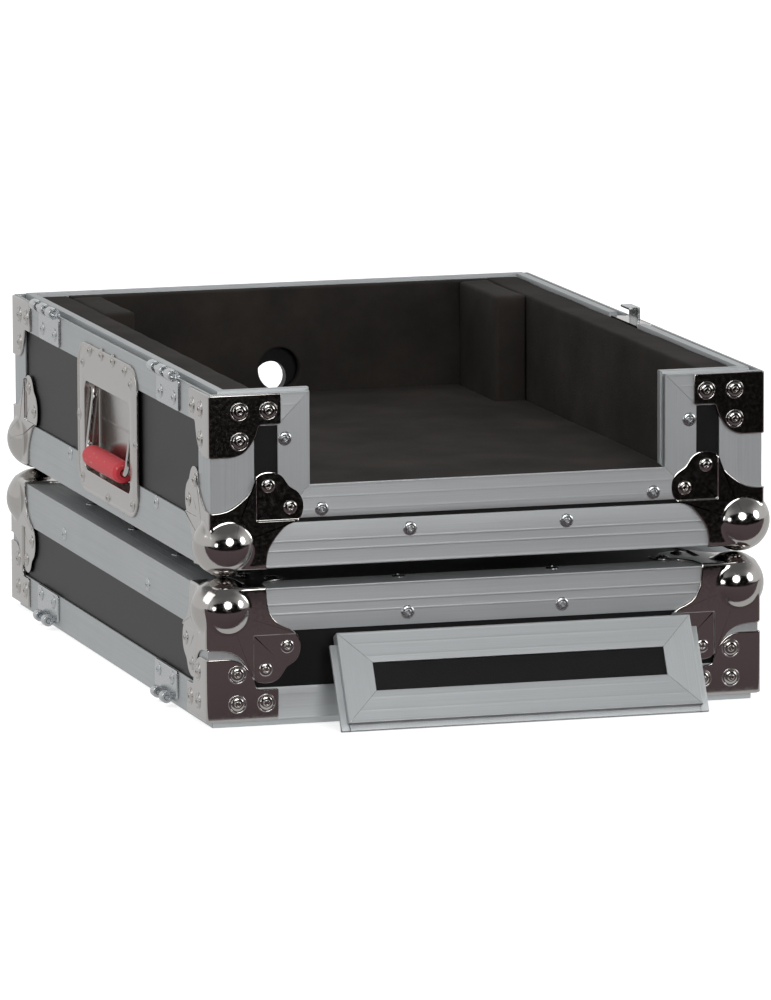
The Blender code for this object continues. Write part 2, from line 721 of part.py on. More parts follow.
def build_foam():
    top = TRAY_HEIGHT - FOAM_DROP
    shoulder = TRAY_HEIGHT - FOAM_SHOULDER_DROP
    low = PANEL_BACK + GAP
    xo, yo = HALF_W - FOAM_FACE, HALF_D - FOAM_FACE
    xs, ys = HALF_W - RIM_DEPTH - GAP, HALF_D - RIM_DEPTH - GAP
    xi, yi = xo - SIDE_FOAM, yo - FOAM
    lining = carved(
        fused(
            box((-xo, -yo, low), (xo, yo, shoulder)),
            box((-xs, -ys, shoulder - 0.005), (xs, ys, top)),
        ),
        box((-xi, -yi, low - 0.01), (xi, yi, top + 0.01)),
    )
    lining = piece("tray_foam_lining", lining, "tray", "dark_foam")
    half_cut = CUTOUT_WIDTH / 2
    sill = TRAY_HEIGHT - CUTOUT_DEPTH
    cut(
        lining,
        box(
            (-half_cut - RIM_LEG, -HALF_D, sill - RIM_LEG),
            (half_cut + RIM_LEG, -yi + 0.01, top + 0.01),
        ),
    )
    hole_z = TRAY_HEIGHT - FOAM_HOLE_DROP
    ends = [(FOAM_HOLE_X, HALF_D + dy, hole_z) for dy in (-0.04, 0.01)]
    cut(lining, rod(*ends, FOAM_HOLE_RADIUS, 24))
    pocket_z = (TRAY_HEIGHT - WINDOW_BOTTOM - 0.0025, TRAY_HEIGHT - WINDOW_TOP + 0.0025)
    half_window = WINDOW_WIDTH / 2 + 0.004
    cut(
        lining,
        box((-HALF_W, -half_window, pocket_z[0]), (-HALF_W + WINDOW_DEPTH + 0.002, half_window, pocket_z[1])),
    )
    half_pan = LATCH_PAN / 2 + GAP
    cut(
        lining,
        box(
            (HALF_W - LATCH_PAN_DEPTH - GAP, -half_pan, TRAY_HEIGHT - LATCH_PAN_DROP - GAP),
            (HALF_W, half_pan, TRAY_HEIGHT),
        ),
    )
    clear = 2 * GAP
    x, y = xi - clear, yi - clear
    block_x, block_y = x - BLOCK_WIDTH, y - BLOCK_LENGTH
    notch_x, notch_y = block_x - clear, block_y - clear
    outline = [(-x, -y), (x, -y), (x, notch_y), (notch_x, notch_y), (notch_x, y)]
    outline += [(-notch_x, y), (-notch_x, notch_y), (-x, notch_y)]
    piece("tray_floor_foam", prism(outline, low, low + FLOOR_FOAM, "Z"), "tray", "dark_foam")
    for name, side in (("left", -1), ("right", 1)):
        inner, outer = sorted((side * block_x, side * x))
        block = box((inner, block_y, low), (outer, y, TRAY_HEIGHT - BLOCK_DROP))
        piece(f"rear_foam_block_{name}", block, "tray", "dark_foam")


def build_handle(edging, left):
    top = TRAY_HEIGHT
    face = -HALF_W
    half_w, half_win = DISH_WIDTH / 2, WINDOW_WIDTH / 2
    z_low, z_high = top - WINDOW_BOTTOM, top - WINDOW_TOP
    wall = 0.0012
    plate = prism(
        rounded((-half_w, top - DISH_BOTTOM), (half_w, top - DISH_TOP), DISH_CORNER, 5),
        face - CORNER_SHEET,
        face - GAP,
        "X",
    )
    outer = ((-half_win - wall, z_low - wall), (half_win + wall, z_high + wall))
    pan_skin = (face - CORNER_SHEET + 0.0002, face + WINDOW_DEPTH + wall)
    pan = prism(rounded(*outer, PAN_CORNER + wall), *pan_skin, "X")
    inner = ((-half_win, z_low), (half_win, z_high))
    hollow = prism(rounded(*inner, PAN_CORNER), face - 0.01, face + WINDOW_DEPTH, "X")
    pivot_x, pivot_z = face + PIVOT_DEPTH, top - PIVOT_DROP
    pin_hole = rod(
        (pivot_x, -half_win - 0.003, pivot_z),
        (pivot_x, half_win + 0.003, pivot_z),
        BAIL_RADIUS + PIN_HOLE_CLEARANCE,
        12,
    )
    spots = [(0, 0.0137), (-0.034, 0.0160), (0.034, 0.0160), (-0.066, 0.0230), (0.066, 0.0230)]
    spots += [(-0.0735, 0.060), (0.0735, 0.060), (0, 0.1065), (-0.066, 0.103), (0.066, 0.103)]
    dish = carved(fused(plate, pan), hollow, pin_hole)
    dish = riveted(dish, [(face - CORNER_SHEET, y, top - drop) for y, drop in spots], (-1, 0, 0))
    piece("handle_dish", dish, "tray", "chrome")

    room = prism(
        rounded(
            (outer[0][0] - GAP, outer[0][1] - GAP),
            (outer[1][0] + GAP, outer[1][1] + GAP),
            PAN_CORNER + wall,
        ),
        face - 0.01,
        face + WINDOW_DEPTH,
        "X",
    )
    pins = rod(
        (pivot_x, -half_win - 0.004, pivot_z), (pivot_x, half_win + 0.004, pivot_z), BAIL_RADIUS + 0.001, 8
    )
    cut(edging, room)
    cut(left, room)
    cut(left, pins)

    span = BAIL_SPAN / 2
    end = half_win + wall + 0.0008
    grip_x, grip_z = face - GRIP_OUT, top - GRIP_DROP
    lean = (pivot_x - grip_x) / (pivot_z - grip_z)
    side = [(pivot_x, end, pivot_z), (pivot_x, span + 0.004, pivot_z)]
    side.append((pivot_x - lean * 0.0012, span + 0.0012, pivot_z - 0.0012))
    side.append((pivot_x - lean * 0.004, span, pivot_z - 0.004))
    for y, z in arc((span - BAIL_BEND, grip_z + BAIL_BEND), BAIL_BEND, 0, -90, 5):
        side.append((grip_x + lean * (z - grip_z), y, z))
    points = side + [(x, -y, z) for x, y, z in reversed(side)]
    pivot = (pivot_x, 0, pivot_z)
    back = Matrix.Translation(-Vector(pivot))
    empty("handle_pivot", pivot, PARENTS["tray"])
    piece("handle_bail", moved(tube(points, BAIL_RADIUS, 2), back), "handle_pivot", "chrome")
    half_grip = GRIP_LENGTH / 2
    sleeve = carved(
        rod((grip_x, -half_grip, grip_z), (grip_x, half_grip, grip_z), GRIP_RADIUS, 16),
        rod((grip_x, -0.1, grip_z), (grip_x, 0.1, grip_z), BAIL_RADIUS + GAP, 12),
    )
    piece("handle_grip", moved(sleeve, back), "handle_pivot", "red_rubber")

    coil = []
    for i in range(SPRING_EIGHTHS + 1):
        turn = 2 * math.pi * i / 8
        coil.append(
            (
                pivot_x + SPRING_RADIUS * math.cos(turn),
                -(span + 0.0045) - SPRING_PITCH * i / 8,
                pivot_z + SPRING_RADIUS * math.sin(turn),
            )
        )
    apart = min((Vector(a) - Vector(b)).length for a, b in zip(coil, coil[8:]))
    print(f"handle spring: least gap between its turns {(apart - 2 * SPRING_WIRE) * 1000:.2f} mm")
    piece("handle_spring", tube(coil, SPRING_WIRE, 1), "tray", "zinc_plate")


def build_hinges():
    top = TRAY_HEIGHT
    axis_x, axis_z = -HALF_W - KNUCKLE_OUT, top + HINGE_RISE
    bore_radius = HINGE_PIN_RADIUS + 0.0002
    for name, side in (("front", -1), ("rear", 1)):
        centre = side * HINGE_OFFSET
        leaf = box(
            (-HALF_W - CORNER_SHEET, centre - LEAF_WIDTH / 2, top - TRAY_LEAF_HEIGHT),
            (-HALF_W - GAP, centre + LEAF_WIDTH / 2, top),
        )
        for offset in TRAY_KNUCKLES:
            y0 = centre + offset - TRAY_KNUCKLE_LENGTH / 2
            y1 = y0 + TRAY_KNUCKLE_LENGTH
            barrel = rod((axis_x, y0, axis_z), (axis_x, y1, axis_z), KNUCKLE_RADIUS, 12)
            bore = rod((axis_x, y0 - 0.01, axis_z), (axis_x, y1 + 0.01, axis_z), bore_radius, 8)
            strap = box((-HALF_W - CORNER_SHEET, y0, top - 0.001), (-HALF_W - GAP, y1, axis_z))
            leaf = fused(leaf, strap, carved(barrel, bore))
        spots = [(-HALF_W - CORNER_SHEET, centre + offset, top - 0.0135) for offset in LEAF_RIVETS]
        piece(f"tray_hinge_leaf_{name}", riveted(leaf, spots, (-1, 0, 0)), "tray", "zinc_plate")


def build_latch(right):
    top = TRAY_HEIGHT
    face = HALF_W
    half_pan = LATCH_PAN / 2
    wall = 0.0012
    plate = prism(
        rounded((-LATCH_PLATE / 2, top - LATCH_DROP), (LATCH_PLATE / 2, top - 0.0005), 0.006),
        face + GAP,
        face + CORNER_SHEET,
        "X",
    )
    pan_low = top - LATCH_PAN_DROP
    pan = box(
        (face - LATCH_PAN_DEPTH, -half_pan, pan_low),
        (face + CORNER_SHEET - 0.0002, half_pan, top - 0.0005),
    )
    hollow = box(
        (face - LATCH_PAN_DEPTH + wall, -half_pan + wall, pan_low + wall),
        (face + 0.01, half_pan - wall, top + 0.01),
    )
    low_back = box((face - 0.02, -0.1, top - 0.0065), (face - LATCH_PAN_DEPTH + wall + 0.001, 0.1, top + 0.01))
    spots = [(face + CORNER_SHEET, s * 0.0425, top - h) for s in (-1, 1) for h in (0.012, 0.037, 0.062)]
    dish = riveted(carved(fused(plate, pan), hollow, low_back), spots, (1, 0, 0))
    piece("latch_dish", dish, "tray", "chrome")
    room = box(
        (face - 0.012, -half_pan - GAP, pan_low - GAP),
        (face + 0.01, half_pan + GAP, top + 0.01),
    )
    cut(right, room)

    axis_z = top - LATCH_AXIS_DROP
    inner = face - LATCH_PAN_DEPTH + wall + GAP
    hook_x = (face - HOOK_DEPTHS[1], face - HOOK_DEPTHS[0])
    empty("latch_axis", (face, 0, axis_z), PARENTS["tray"])
    here = Matrix.Translation((-face, 0, -axis_z))
    drum = rod((inner, 0, axis_z), (hook_x[0] - GAP, 0, axis_z), CAM_RADIUS, 20)
    shaft = rod((inner + 0.001, 0, axis_z), (face - 0.0017, 0, axis_z), CAM_SHAFT_RADIUS, 12)
    hub = box(
        (face - HOOK_DEPTHS[0] + GAP, -HUB_HALF, axis_z - 0.0035),
        (face - 0.0002, HUB_HALF, axis_z + 0.006),
    )
    piece("latch_cam", moved(fused(drum, shaft, hub), here), "latch_axis", "zinc_plate")

    slot_half = CAM_SHAFT_RADIUS + GAP * 2
    slot = prism(
        [
            *arc((0, axis_z + HOOK_TRAVEL), slot_half, 0, 180, 6),
            *arc((0, axis_z), slot_half, 180, 360, 6),
        ],
        face - 0.02,
        face,
        "X",
    )
    foot = axis_z - slot_half - 0.006
    half, wide = HOOK_WIDTH / 2, HOOK_FOOT_WIDTH / 2
    shoulder = axis_z + HOOK_TRAVEL + slot_half + 0.003
    outline = [(-wide, foot), (wide, foot), (wide, shoulder), (half, shoulder + 0.004)]
    outline += [(half, top + HOOK_RISE), (-half, top + HOOK_RISE), (-half, shoulder + 0.004), (-wide, shoulder)]
    strip = carved(prism(outline, *hook_x, "X"), slot)
    lip = box(
        (face - HOOK_LIP, -half, top + HOOK_RISE - SHEET - 0.0003),
        (hook_x[1], half, top + HOOK_RISE),
    )
    piece("latch_hook", fused(strip, lip), "tray", "zinc_plate")

    wing_x = (face - WING_DEPTHS[1], face - WING_DEPTHS[0])
    pin_half = (WING_DEPTHS[1] - WING_DEPTHS[0]) / 2
    left_arc = arc((0, axis_z), WING_RADIUS, 197, 250, 5)
    right_arc = arc((0, axis_z), WING_RADIUS, 290, 343, 5)
    notch = axis_z - 0.0068
    outline = [(-WING_NECK, axis_z + pin_half)]
    outline += [(-WING_NECK - 0.010, axis_z + pin_half), *left_arc]
    outline += [(0, axis_z - WING_RADIUS + 0.006), *right_arc]
    outline += [(WING_NECK + 0.010, axis_z + pin_half), (WING_NECK, axis_z + pin_half)]
    outline += [(WING_NECK, notch), (-WING_NECK, notch)]
    empty("wing_pivot", (-sum(WING_DEPTHS) / 2, 0, 0), PARENTS["latch_axis"])
    there = Matrix.Translation((-face + sum(WING_DEPTHS) / 2, 0, -axis_z))
    piece("latch_wing", moved(prism(outline, *wing_x, "X"), there), "wing_pivot", "chrome")


def build_flap():
    """The flap, upright in its own frame: width along X, depth along Y from its front face, height along Z."""
    half, height, deep = FLAP_WIDTH / 2, FLAP_HEIGHT, FLAP_THICKNESS
    profile = beaded(FLAP_RAIL, 0.0, (RIM_BEADS[1], RIM_BEADS[0])) + [
        (deep, 0.0),
        (deep, 0.010),
        (deep - SHEET, 0.010),
        (deep - SHEET, 0.006),
        (SHEET, 0.006),
        (SHEET, FLAP_RAIL),
    ]
    sections = []
    for sx, low in ((-1, True), (1, True), (1, False), (-1, False)):
        sections.append(
            [(sx * (half - h), depth, h if low else height - h) for depth, h in profile]
        )
    frame = loft(sections, closed=True)
    reach = half + FLAP_SIDE_TONGUE
    tongue_top = height - FLAP_TONGUE_DROP
    for side in (-1, 1):
        low, high = sorted((side * (half - 0.003), side * reach))
        tongue = box((low, TONGUE[0], -TONGUE_LENGTH), (high, TONGUE[1], tongue_top))
        frame = fused(frame, tongue)
    frame = fused(frame, box((-half, TONGUE[0], -TONGUE_LENGTH), (half, TONGUE[1], 0.003)))
    groove = box(
        (-half - 0.001, GROOVE[0], height - GROOVE_DEPTH), (half + 0.001, GROOVE[1], height + 0.01)
    )
    frame = carved(frame, groove)
    lip = box((-half + 0.003, GROOVE[1] + 0.0004, height - 0.003), (half - 0.003, deep, height + LIP_RISE))
    piece("flap_frame", fused(frame, lip), "flap", "brushed_aluminium")
    edge = 0.006 + GAP
    panel = box((-half + edge, SHEET + GAP, edge), (half - edge, deep - SHEET - GAP, height - edge))
    piece("flap_panel", panel, "flap", "black_laminate")


def flap_place():
    """Where the flap's frame corner is, in the lid's frame, with its tongue's heel standing on the floor."""
    sin, cos = math.sin(FLAP_LEAN), math.cos(FLAP_LEAN)
    lift = TONGUE_LENGTH * cos + TONGUE[1] * sin
    top_edge = (FLAP_HEIGHT + LIP_RISE) * sin + FLAP_THICKNESS * cos
    return Vector((FLAP_OFFSET, -HALF_D - FLAP_CLEAR - top_edge, lift))


clear_scene()
finish("brushed_aluminium", (0.60, 0.61, 0.62), 0.38, 1.0)
finish("chrome", (0.62, 0.61, 0.60), 0.12, 1.0)
finish("zinc_plate", (0.55, 0.56, 0.57), 0.30, 1.0)
finish("black_laminate", (0.018, 0.018, 0.020), 0.45, 0.0)
finish("dark_foam", (0.040, 0.036, 0.032), 0.95, 0.0)
finish("red_rubber", (0.62, 0.065, 0.080), 0.50, 0.0)
BALL_MESH = ball_corner_mesh()
BRACKET_MESH = bracket_mesh()

# The origin is under the middle of the whole, with the leaning flap and the handle's grip counted in
flap_corner = flap_place()
front_reach = -flap_corner.y
rear_reach = HALF_D + BALL_RADIUS - BALL_INSET
left_reach = HALF_W + KNUCKLE_OUT + KNUCKLE_RADIUS + STACK_SHIFT / 2
right_reach = HALF_W + BALL_RADIUS - BALL_INSET + STACK_SHIFT / 2
SHIFT = Vector(((left_reach - right_reach) / 2, (front_reach - rear_reach) / 2, 0))

empty("case_origin", SHIFT)
empty("lid", (-STACK_SHIFT / 2, 0, 0), PARENTS["case_origin"])
empty("tray", (STACK_SHIFT / 2, 0, TRAY_LIFT), PARENTS["case_origin"])
empty("flap", flap_corner, PARENTS["lid"])
PARENTS["flap"].rotation_euler = (-FLAP_LEAN, 0, 0)

build_lid()
tray_edging, left_wall, right_wall = build_tray_shell()
build_foam()
build_handle(tray_edging, left_wall)
build_hinges()
build_latch(right_wall)
build_flap()

for thing in case.objects:
    if thing.type == "MESH":
        thing.data.shade_smooth()
        thing.data.set_sharp_from_angle(angle=math.radians(35))
bpy.context.view_layer.update()
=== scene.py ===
"""The looks of the mixer flight case: the opened tray on its lid, with the front flap leaning on it."""

import math

import bmesh
import bpy
import numpy as np
from mathutils import Matrix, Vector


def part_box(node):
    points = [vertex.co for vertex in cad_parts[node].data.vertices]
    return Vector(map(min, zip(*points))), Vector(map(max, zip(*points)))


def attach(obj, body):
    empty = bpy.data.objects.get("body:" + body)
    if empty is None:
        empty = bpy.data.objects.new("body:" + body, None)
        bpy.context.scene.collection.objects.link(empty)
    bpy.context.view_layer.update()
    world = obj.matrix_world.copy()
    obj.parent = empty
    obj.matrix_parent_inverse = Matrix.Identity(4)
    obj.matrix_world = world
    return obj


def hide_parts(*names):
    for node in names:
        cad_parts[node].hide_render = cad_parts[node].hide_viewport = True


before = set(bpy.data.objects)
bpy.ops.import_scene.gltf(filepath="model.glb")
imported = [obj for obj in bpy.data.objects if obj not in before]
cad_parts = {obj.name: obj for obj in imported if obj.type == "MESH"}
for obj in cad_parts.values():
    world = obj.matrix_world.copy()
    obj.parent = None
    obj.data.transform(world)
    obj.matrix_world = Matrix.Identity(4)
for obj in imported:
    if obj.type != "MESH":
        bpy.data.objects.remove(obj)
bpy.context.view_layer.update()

# Sizes in millimetres, as the CAD has them
MM = 0.001
HALF_W, HALF_D = 191.0, 263.0
TRAY_HEIGHT, LID_HEIGHT, PARTING = 116.5, 92.5, 4.2
HALF_CUT, SILL_Z = 123.0, TRAY_HEIGHT - 62.5
HINGE_RISE = 2.6
# The pressings' sheet, how far its back is off the wall, and the dark hair between two lengths
SKIN, BACK, HAIR = 1.6, 0.1, 0.12

X, Y, Z = (1, 0, 0), (0, 1, 0), (0, 0, 1)
QUARTER = math.pi / 2
CORNERS = ((-1, -1), (1, -1), (1, 1), (-1, 1))
CORNER_NAMES = ("front_left", "front_right", "rear_right", "rear_left")


def middle(node, height):
    """The point in the middle of a CAD node that goes round the whole case, at a height of its body's own."""
    low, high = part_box(node)
    return np.array([(low.x + high.x) / 2 / MM, (low.y + high.y) / 2 / MM, height])


LID_AT = middle("lid_edging", 0.0)
TRAY_AT = middle("tray_bottom_edging", 106.5)
# Where a body's own frame stands; the bodies not named here are built on the tray
BUILT_ON = {"lid": LID_AT, "flap": np.zeros(3)}


# ---- surfaces


def running(steps):
    """The length run so far at each point, from the lengths between them."""
    return np.concatenate([[0.0], np.cumsum(steps)])


def between(a, b, shares):
    """Rows on the way from one to another, each a (1 - s) + b s."""
    return [a * (1 - s) + b * s for s in shares]


def skin(points, seam=None):
    """A patch over a rows x columns grid of points, one face between each four neighbours. Its surface
    coordinates are the mean length run from row to row, and the length run along the middle row."""
    rows, columns = points.shape[:2]
    index = np.arange(rows * columns).reshape(rows, columns)
    faces = np.stack([index[:-1, :-1], index[:-1, 1:], index[1:, 1:], index[1:, :-1]], -1)
    if seam is None:
        down = running(np.linalg.norm(np.diff(points, axis=0), axis=2).mean(1))
        across = running(np.linalg.norm(np.diff(points[rows // 2], axis=0), axis=1))
        seam = np.stack(np.broadcast_arrays(down[:, None], across), -1)
    return points.reshape(-1, 3), faces.reshape(-1, 4), seam.reshape(-1, 2)


def looped(points):
    """The grid with its first column again at its end, so that the patch goes all the way round."""
    return np.concatenate([points, points[:, :1]], axis=1)


def shown(name, data):
    """A new object in the scene."""
    thing = bpy.data.objects.new(name, data)
    bpy.context.scene.collection.objects.link(thing)
    return thing


def shape(name, patches, body, finish, *nodes, sharp=38):
    """One piece from its patches: points end to end in its body's frame, welded where they meet, open ends
    closed, faces turned outwards. It has a finish and stands for the CAD nodes named."""
    points, faces, seams = zip(*patches)
    starts = np.cumsum([0] + [len(rows) for rows in points])
    faces = np.concatenate([rows + start for rows, start in zip(faces, starts)])
    points = (np.concatenate(points) + BUILT_ON.get(body, TRAY_AT)) * MM
    seam = np.concatenate(seams)[faces.ravel()] * MM
    mesh = bpy.data.meshes.new(name)
    mesh.from_pydata(points.tolist(), [], faces.tolist())
    mesh.uv_layers.new(name="surface").data.foreach_set("uv", seam.astype(np.float32).ravel())
    bm = bmesh.new()
    bm.from_mesh(mesh)
    bmesh.ops.remove_doubles(bm, verts=bm.verts, dist=4e-6)
    bmesh.ops.holes_fill(bm, edges=[edge for edge in bm.edges if edge.is_boundary], sides=0)
    bmesh.ops.recalc_face_normals(bm, faces=bm.faces)
    bm.to_mesh(mesh)
    bm.free()
    mesh.shade_smooth()
    mesh.set_sharp_from_angle(angle=math.radians(sharp))
    material, slot = finish
    mesh.materials.append(material)
    thing = shown(name, mesh)
    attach(thing, body)
    if nodes:
        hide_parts(*nodes)
    return thing


def eased(points, cut, steps=4):
    """A closed outline with each corner cut back by a length along both sides and joined by a quadratic
    curve: (1-s)^2 start + 2s(1-s) corner + s^2 end."""
    points = np.asarray(points, float)
    before, after = (np.roll(points, shift, 0) - points for shift in (1, -1))
    long_before, long_after = (np.linalg.norm(way, axis=1) for way in (before, after))
    reach = np.minimum(cut, 0.48 * np.minimum(long_before, long_after))
    start = points + before * (reach / long_before)[:, None]
    end = points + after * (reach / long_after)[:, None]
    s = np.linspace(0, 1, steps)[None, :, None]
    curve = (1 - s) ** 2 * start[:, None] + 2 * s * (1 - s) * points[:, None] + s**2 * end[:, None]
    return curve.reshape(-1, points.shape[1])


def through(points, steps=6):
    """A smooth curve through points: Catmull-Rom, each stretch a cubic in s of its four nearest."""
    p = np.asarray(points, float)
    p = np.concatenate([[2 * p[0] - p[1]], p, [2 * p[-1] - p[-2]]])
    a, b, c, d = (p[i : len(p) - 3 + i, None] for i in range(4))
    s = np.linspace(0, 1, steps, endpoint=False)[None, :, None]
    curve = 0.5 * (2 * b + (c - a) * s + (2 * a - 5 * b + 4 * c - d) * s**2 + (3 * b - a - 3 * c + d) * s**3)
    return np.concatenate([curve.reshape(-1, p.shape[1]), p[-2:-1]])


def spaced(points, step):
    """An open line's points set again at even lengths of about a step."""
    points = np.asarray(points, float)
    run = running(np.linalg.norm(np.diff(points, axis=0), axis=1))
    at = np.linspace(0, run[-1], max(2, int(round(run[-1] / step)) + 1))
    return np.stack([np.interp(at, run, points[:, i]) for i in range(points.shape[1])], 1)


def spaced_outline(corners, step):
    """A closed outline's sides, each spaced evenly, without sides of no length."""
    corners = np.asarray(corners, float)
    sides = zip(corners, np.roll(corners, -1, 0))
    return np.concatenate([spaced([a, b], step)[:-1] for a, b in sides if np.linalg.norm(a - b) > 1e-6])


def rounded_rectangle(low, high, radius, arc=7, side=4):
    """A rectangle's outline, anticlockwise from its lower edge's right end, with quarter circles for
    corners."""
    low, high = np.asarray(low, float), np.asarray(high, float)
    quarters = []
    for corner, far in enumerate(((1, 0), (1, 1), (0, 1), (0, 0))):
        centre = np.where(far, high - radius, low + radius)
        angle = np.linspace(0, QUARTER, arc) + QUARTER * (corner - 1)
        quarters.append(centre + radius * np.stack([np.cos(angle), np.sin(angle)], 1))
    share = np.linspace(0, 1, side + 1)[1:-1, None]
    pairs = zip(quarters, quarters[1:] + quarters[:1])
    return np.concatenate([rows for a, b in pairs for rows in (a, *between(a[-1], b[0], [share]))])


def drawn_in(outline, inset):
    """A closed outline moved inwards, each point along its two sides' normals added, over half their
    square."""
    ahead = np.roll(outline, -1, 0) - outline
    ahead /= np.maximum(np.linalg.norm(ahead, axis=1, keepdims=True), 1e-9)
    normal = np.stack([-ahead[:, 1], ahead[:, 0]], 1)
    both = normal + np.roll(normal, 1, 0)
    return outline + inset * both / np.maximum((both**2).sum(1, keepdims=True) / 2, 0.35)


def seat(origin, across, up):
    """A plane to build on: its origin, its two directions and their cross product, the way out."""
    return *np.array([origin, across, up], float), np.cross(across, up)


def left_wall(y=0.0, z=0.0):
    return seat((-HALF_W, y, z), (0, -1, 0), Z)


def right_wall(z=0.0, depth=0.0):
    return seat((HALF_W - depth, 0, z), Y, Z)


def on(place, flat, height=0.0):
    """Points on a seat: origin + a times its first direction + b times its second + height out."""
    origin, across, up, out = place
    flat = np.asarray(flat, float)
    height = np.broadcast_to(height, flat.shape[:-1])[..., None]
    return origin + flat[..., :1] * across + flat[..., 1:2] * up + height * out


def edge_rows(face, back, roll, back_roll):
    """Insets and heights from the back of a sheet, round its edge in two quarter circles, to its face."""
    turn = np.linspace(0, QUARTER, 5)
    inset = [[back_roll + 0.6], back_roll * (1 - np.sin(turn)), roll * (1 - np.cos(turn)), [roll + 0.6]]
    height = [[back], back + back_roll * (1 - np.cos(turn)), face - roll + roll * np.sin(turn), [face]]
    return np.concatenate(inset), np.concatenate(height)


def laid(place, flat, height, relief=None, floor=0.0):
    """A sheet's rows of flat outlines at their heights on a seat. relief adds to each height above a
    floor."""
    flat = np.stack(flat)
    height = np.broadcast_to(height[:, None], flat.shape[:2])
    if relief is not None:
        height = height + np.where(height > floor, relief(flat[..., 0], flat[..., 1]), 0.0)
    return skin(looped(on(place, flat, height)), looped(flat))


def plate(
    place, outline, face, back=BACK, roll=0.6, back_roll=0.0, hole=None, centre=None, rings=2, relief=None
):
    """A sheet on a seat: rows go from its back round the edge to its face, and in to its centre, or down
    through its hole and along the back. Inner rings are the outline drawn to the centre in equal shares."""
    outline = np.asarray(outline, float)
    inset, height = edge_rows(face, back, roll, back_roll)
    flat = [drawn_in(outline, i) for i in inset]
    if hole is None:
        centre = np.broadcast_to(outline.mean(0) if centre is None else centre, outline.shape)
        share = np.linspace(0, 1, rings + 2)[1:]
        flat = [centre] + flat + between(flat[-1], centre, share)
        height = np.concatenate([[back], height, np.full(len(share), face)])
    else:
        far = [drawn_in(hole, -i) for i in inset[::-1]]
        share = np.linspace(0, 1, rings + 1)[1:-1]
        flat += between(flat[-1], far[0], share) + far + flat[:1]
        height = np.concatenate([height, np.full(len(share), face), height[::-1], height[:1]])
    return laid(place, flat, height, relief, (face + back) / 2)


def dish(place, outline, hole, depth, border):
    """A pressed dish on a seat: a plate with border steps of (inset, height), whose hole goes down in a
    wall and round a quarter circle to a flat floor, and the same again a wall's thickness behind."""
    lip, corner, wall = 0.7, 2.0, 1.0
    turn = np.linspace(0, QUARTER, 6)
    inset, height = edge_rows(SKIN, BACK, lip, 0.0)
    steps, drops = np.transpose(border)
    flat = [drawn_in(outline, i) for i in (*inset, *steps)]
    mouth = [drawn_in(hole, -lip * (1 - math.sin(t))) for t in turn]
    flat += between(flat[-1], mouth[0], np.linspace(0, 1, 4)[1:-1]) + mouth
    pan = [drawn_in(hole, corner * (1 - math.cos(t))) for t in turn]
    centre = np.broadcast_to(hole.mean(0), hole.shape)
    flat += pan + between(pan[-1], centre, (0.1, 0.5, 1.0))
    flat += [centre, drawn_in(hole, corner), drawn_in(hole, -wall), drawn_in(hole, -wall), flat[0]]
    down = [SKIN - lip * (1 - np.cos(turn)), corner - depth - corner * np.sin(turn), [-depth] * 3]
    under = [[-depth - wall] * 3, [height[0]] * 2]
    return laid(place, flat, np.concatenate([height, SKIN + drops, [SKIN] * 2, *down, *under]))


def turned(profile, centre, out, sides=24):
    """A profile of (radius, height) rows turned about a direction: centre + radius (cos t a + sin t b) +
    height out."""
    side = np.cross(out, Z if abs(out[2]) < 0.9 else X)
    side = side / np.linalg.norm(side)
    t = np.linspace(0, 2 * math.pi, sides + 1)[:, None]
    ring = np.cos(t) * side + np.sin(t) * np.cross(out, side)
    profile = np.asarray(profile, float)
    return skin(np.array(centre) + profile[:, None, :1] * ring + profile[:, None, 1:] * np.array(out))


def wire(path, radius, sides=16):
    """A round wire along a path: at each point a circle across it, turned as little as can be from the
    last."""
    path = np.asarray(path, float)
    ahead = np.gradient(path, axis=0)
    ahead /= np.linalg.norm(ahead, axis=1, keepdims=True)
    side = np.cross(ahead[0], [0.31, 0.17, 0.93])
    rows = []
    for direction in ahead:
        side = side - direction * (side @ direction)
        side /= np.linalg.norm(side)
        rows.append(side)
    rows = np.array(rows)[:, None]
    t = np.linspace(0, 2 * math.pi, sides + 1)[None, :, None]
    return skin(path[:, None] + radius * (np.cos(t) * rows + np.sin(t) * np.cross(ahead[:, None], rows)))


def length_of(sections):
    """An extruded length: its closed profile carried through a row of sections."""
    return skin(looped(np.stack(sections)))


def block(low, high, ease, step=9.0, sag=None):
    """A soft-edged block of six grids. A point q goes to c + r (q - c) / |q - c|, where c is the nearest
    point of the block drawn in by the edge radius r. sag moves the points by their place."""
    low, high = np.asarray(low, float), np.asarray(high, float)
    near = ease * (1 - np.cos(np.linspace(0, QUARTER, 4)))
    lines = []
    for a, b in zip(low, high):
        inner = np.linspace(a + ease, b - ease, max(2, int((b - a - 2 * ease) / step) + 1))
        lines.append(np.unique(np.concatenate([a + near, inner, b - near])))
    patches = []
    for axis in range(3):
        one, two = (axis + 1) % 3, (axis + 2) % 3
        for end in (low[axis], high[axis]):
            u, v = np.meshgrid(lines[one], lines[two], indexing="ij")
            q = np.empty(u.shape + (3,))
            q[..., one], q[..., two], q[..., axis] = u, v, end
            core = np.clip(q, low + ease, high - ease)
            away = q - core
            q = core + away * (ease / np.maximum(np.linalg.norm(away, axis=-1, keepdims=True), 1e-9))
            patches.append(skin(sag(q) if sag else q))
    return patches


# ---- finishes


def tone(code):
    """A colour in linear light from its sRGB hex code."""
    parts = [int(code[i : i + 2], 16) / 255 for i in (1, 3, 5)]
    return (*[c / 12.92 if c <= 0.04045 else ((c + 0.055) / 1.055) ** 2.4 for c in parts], 1.0)


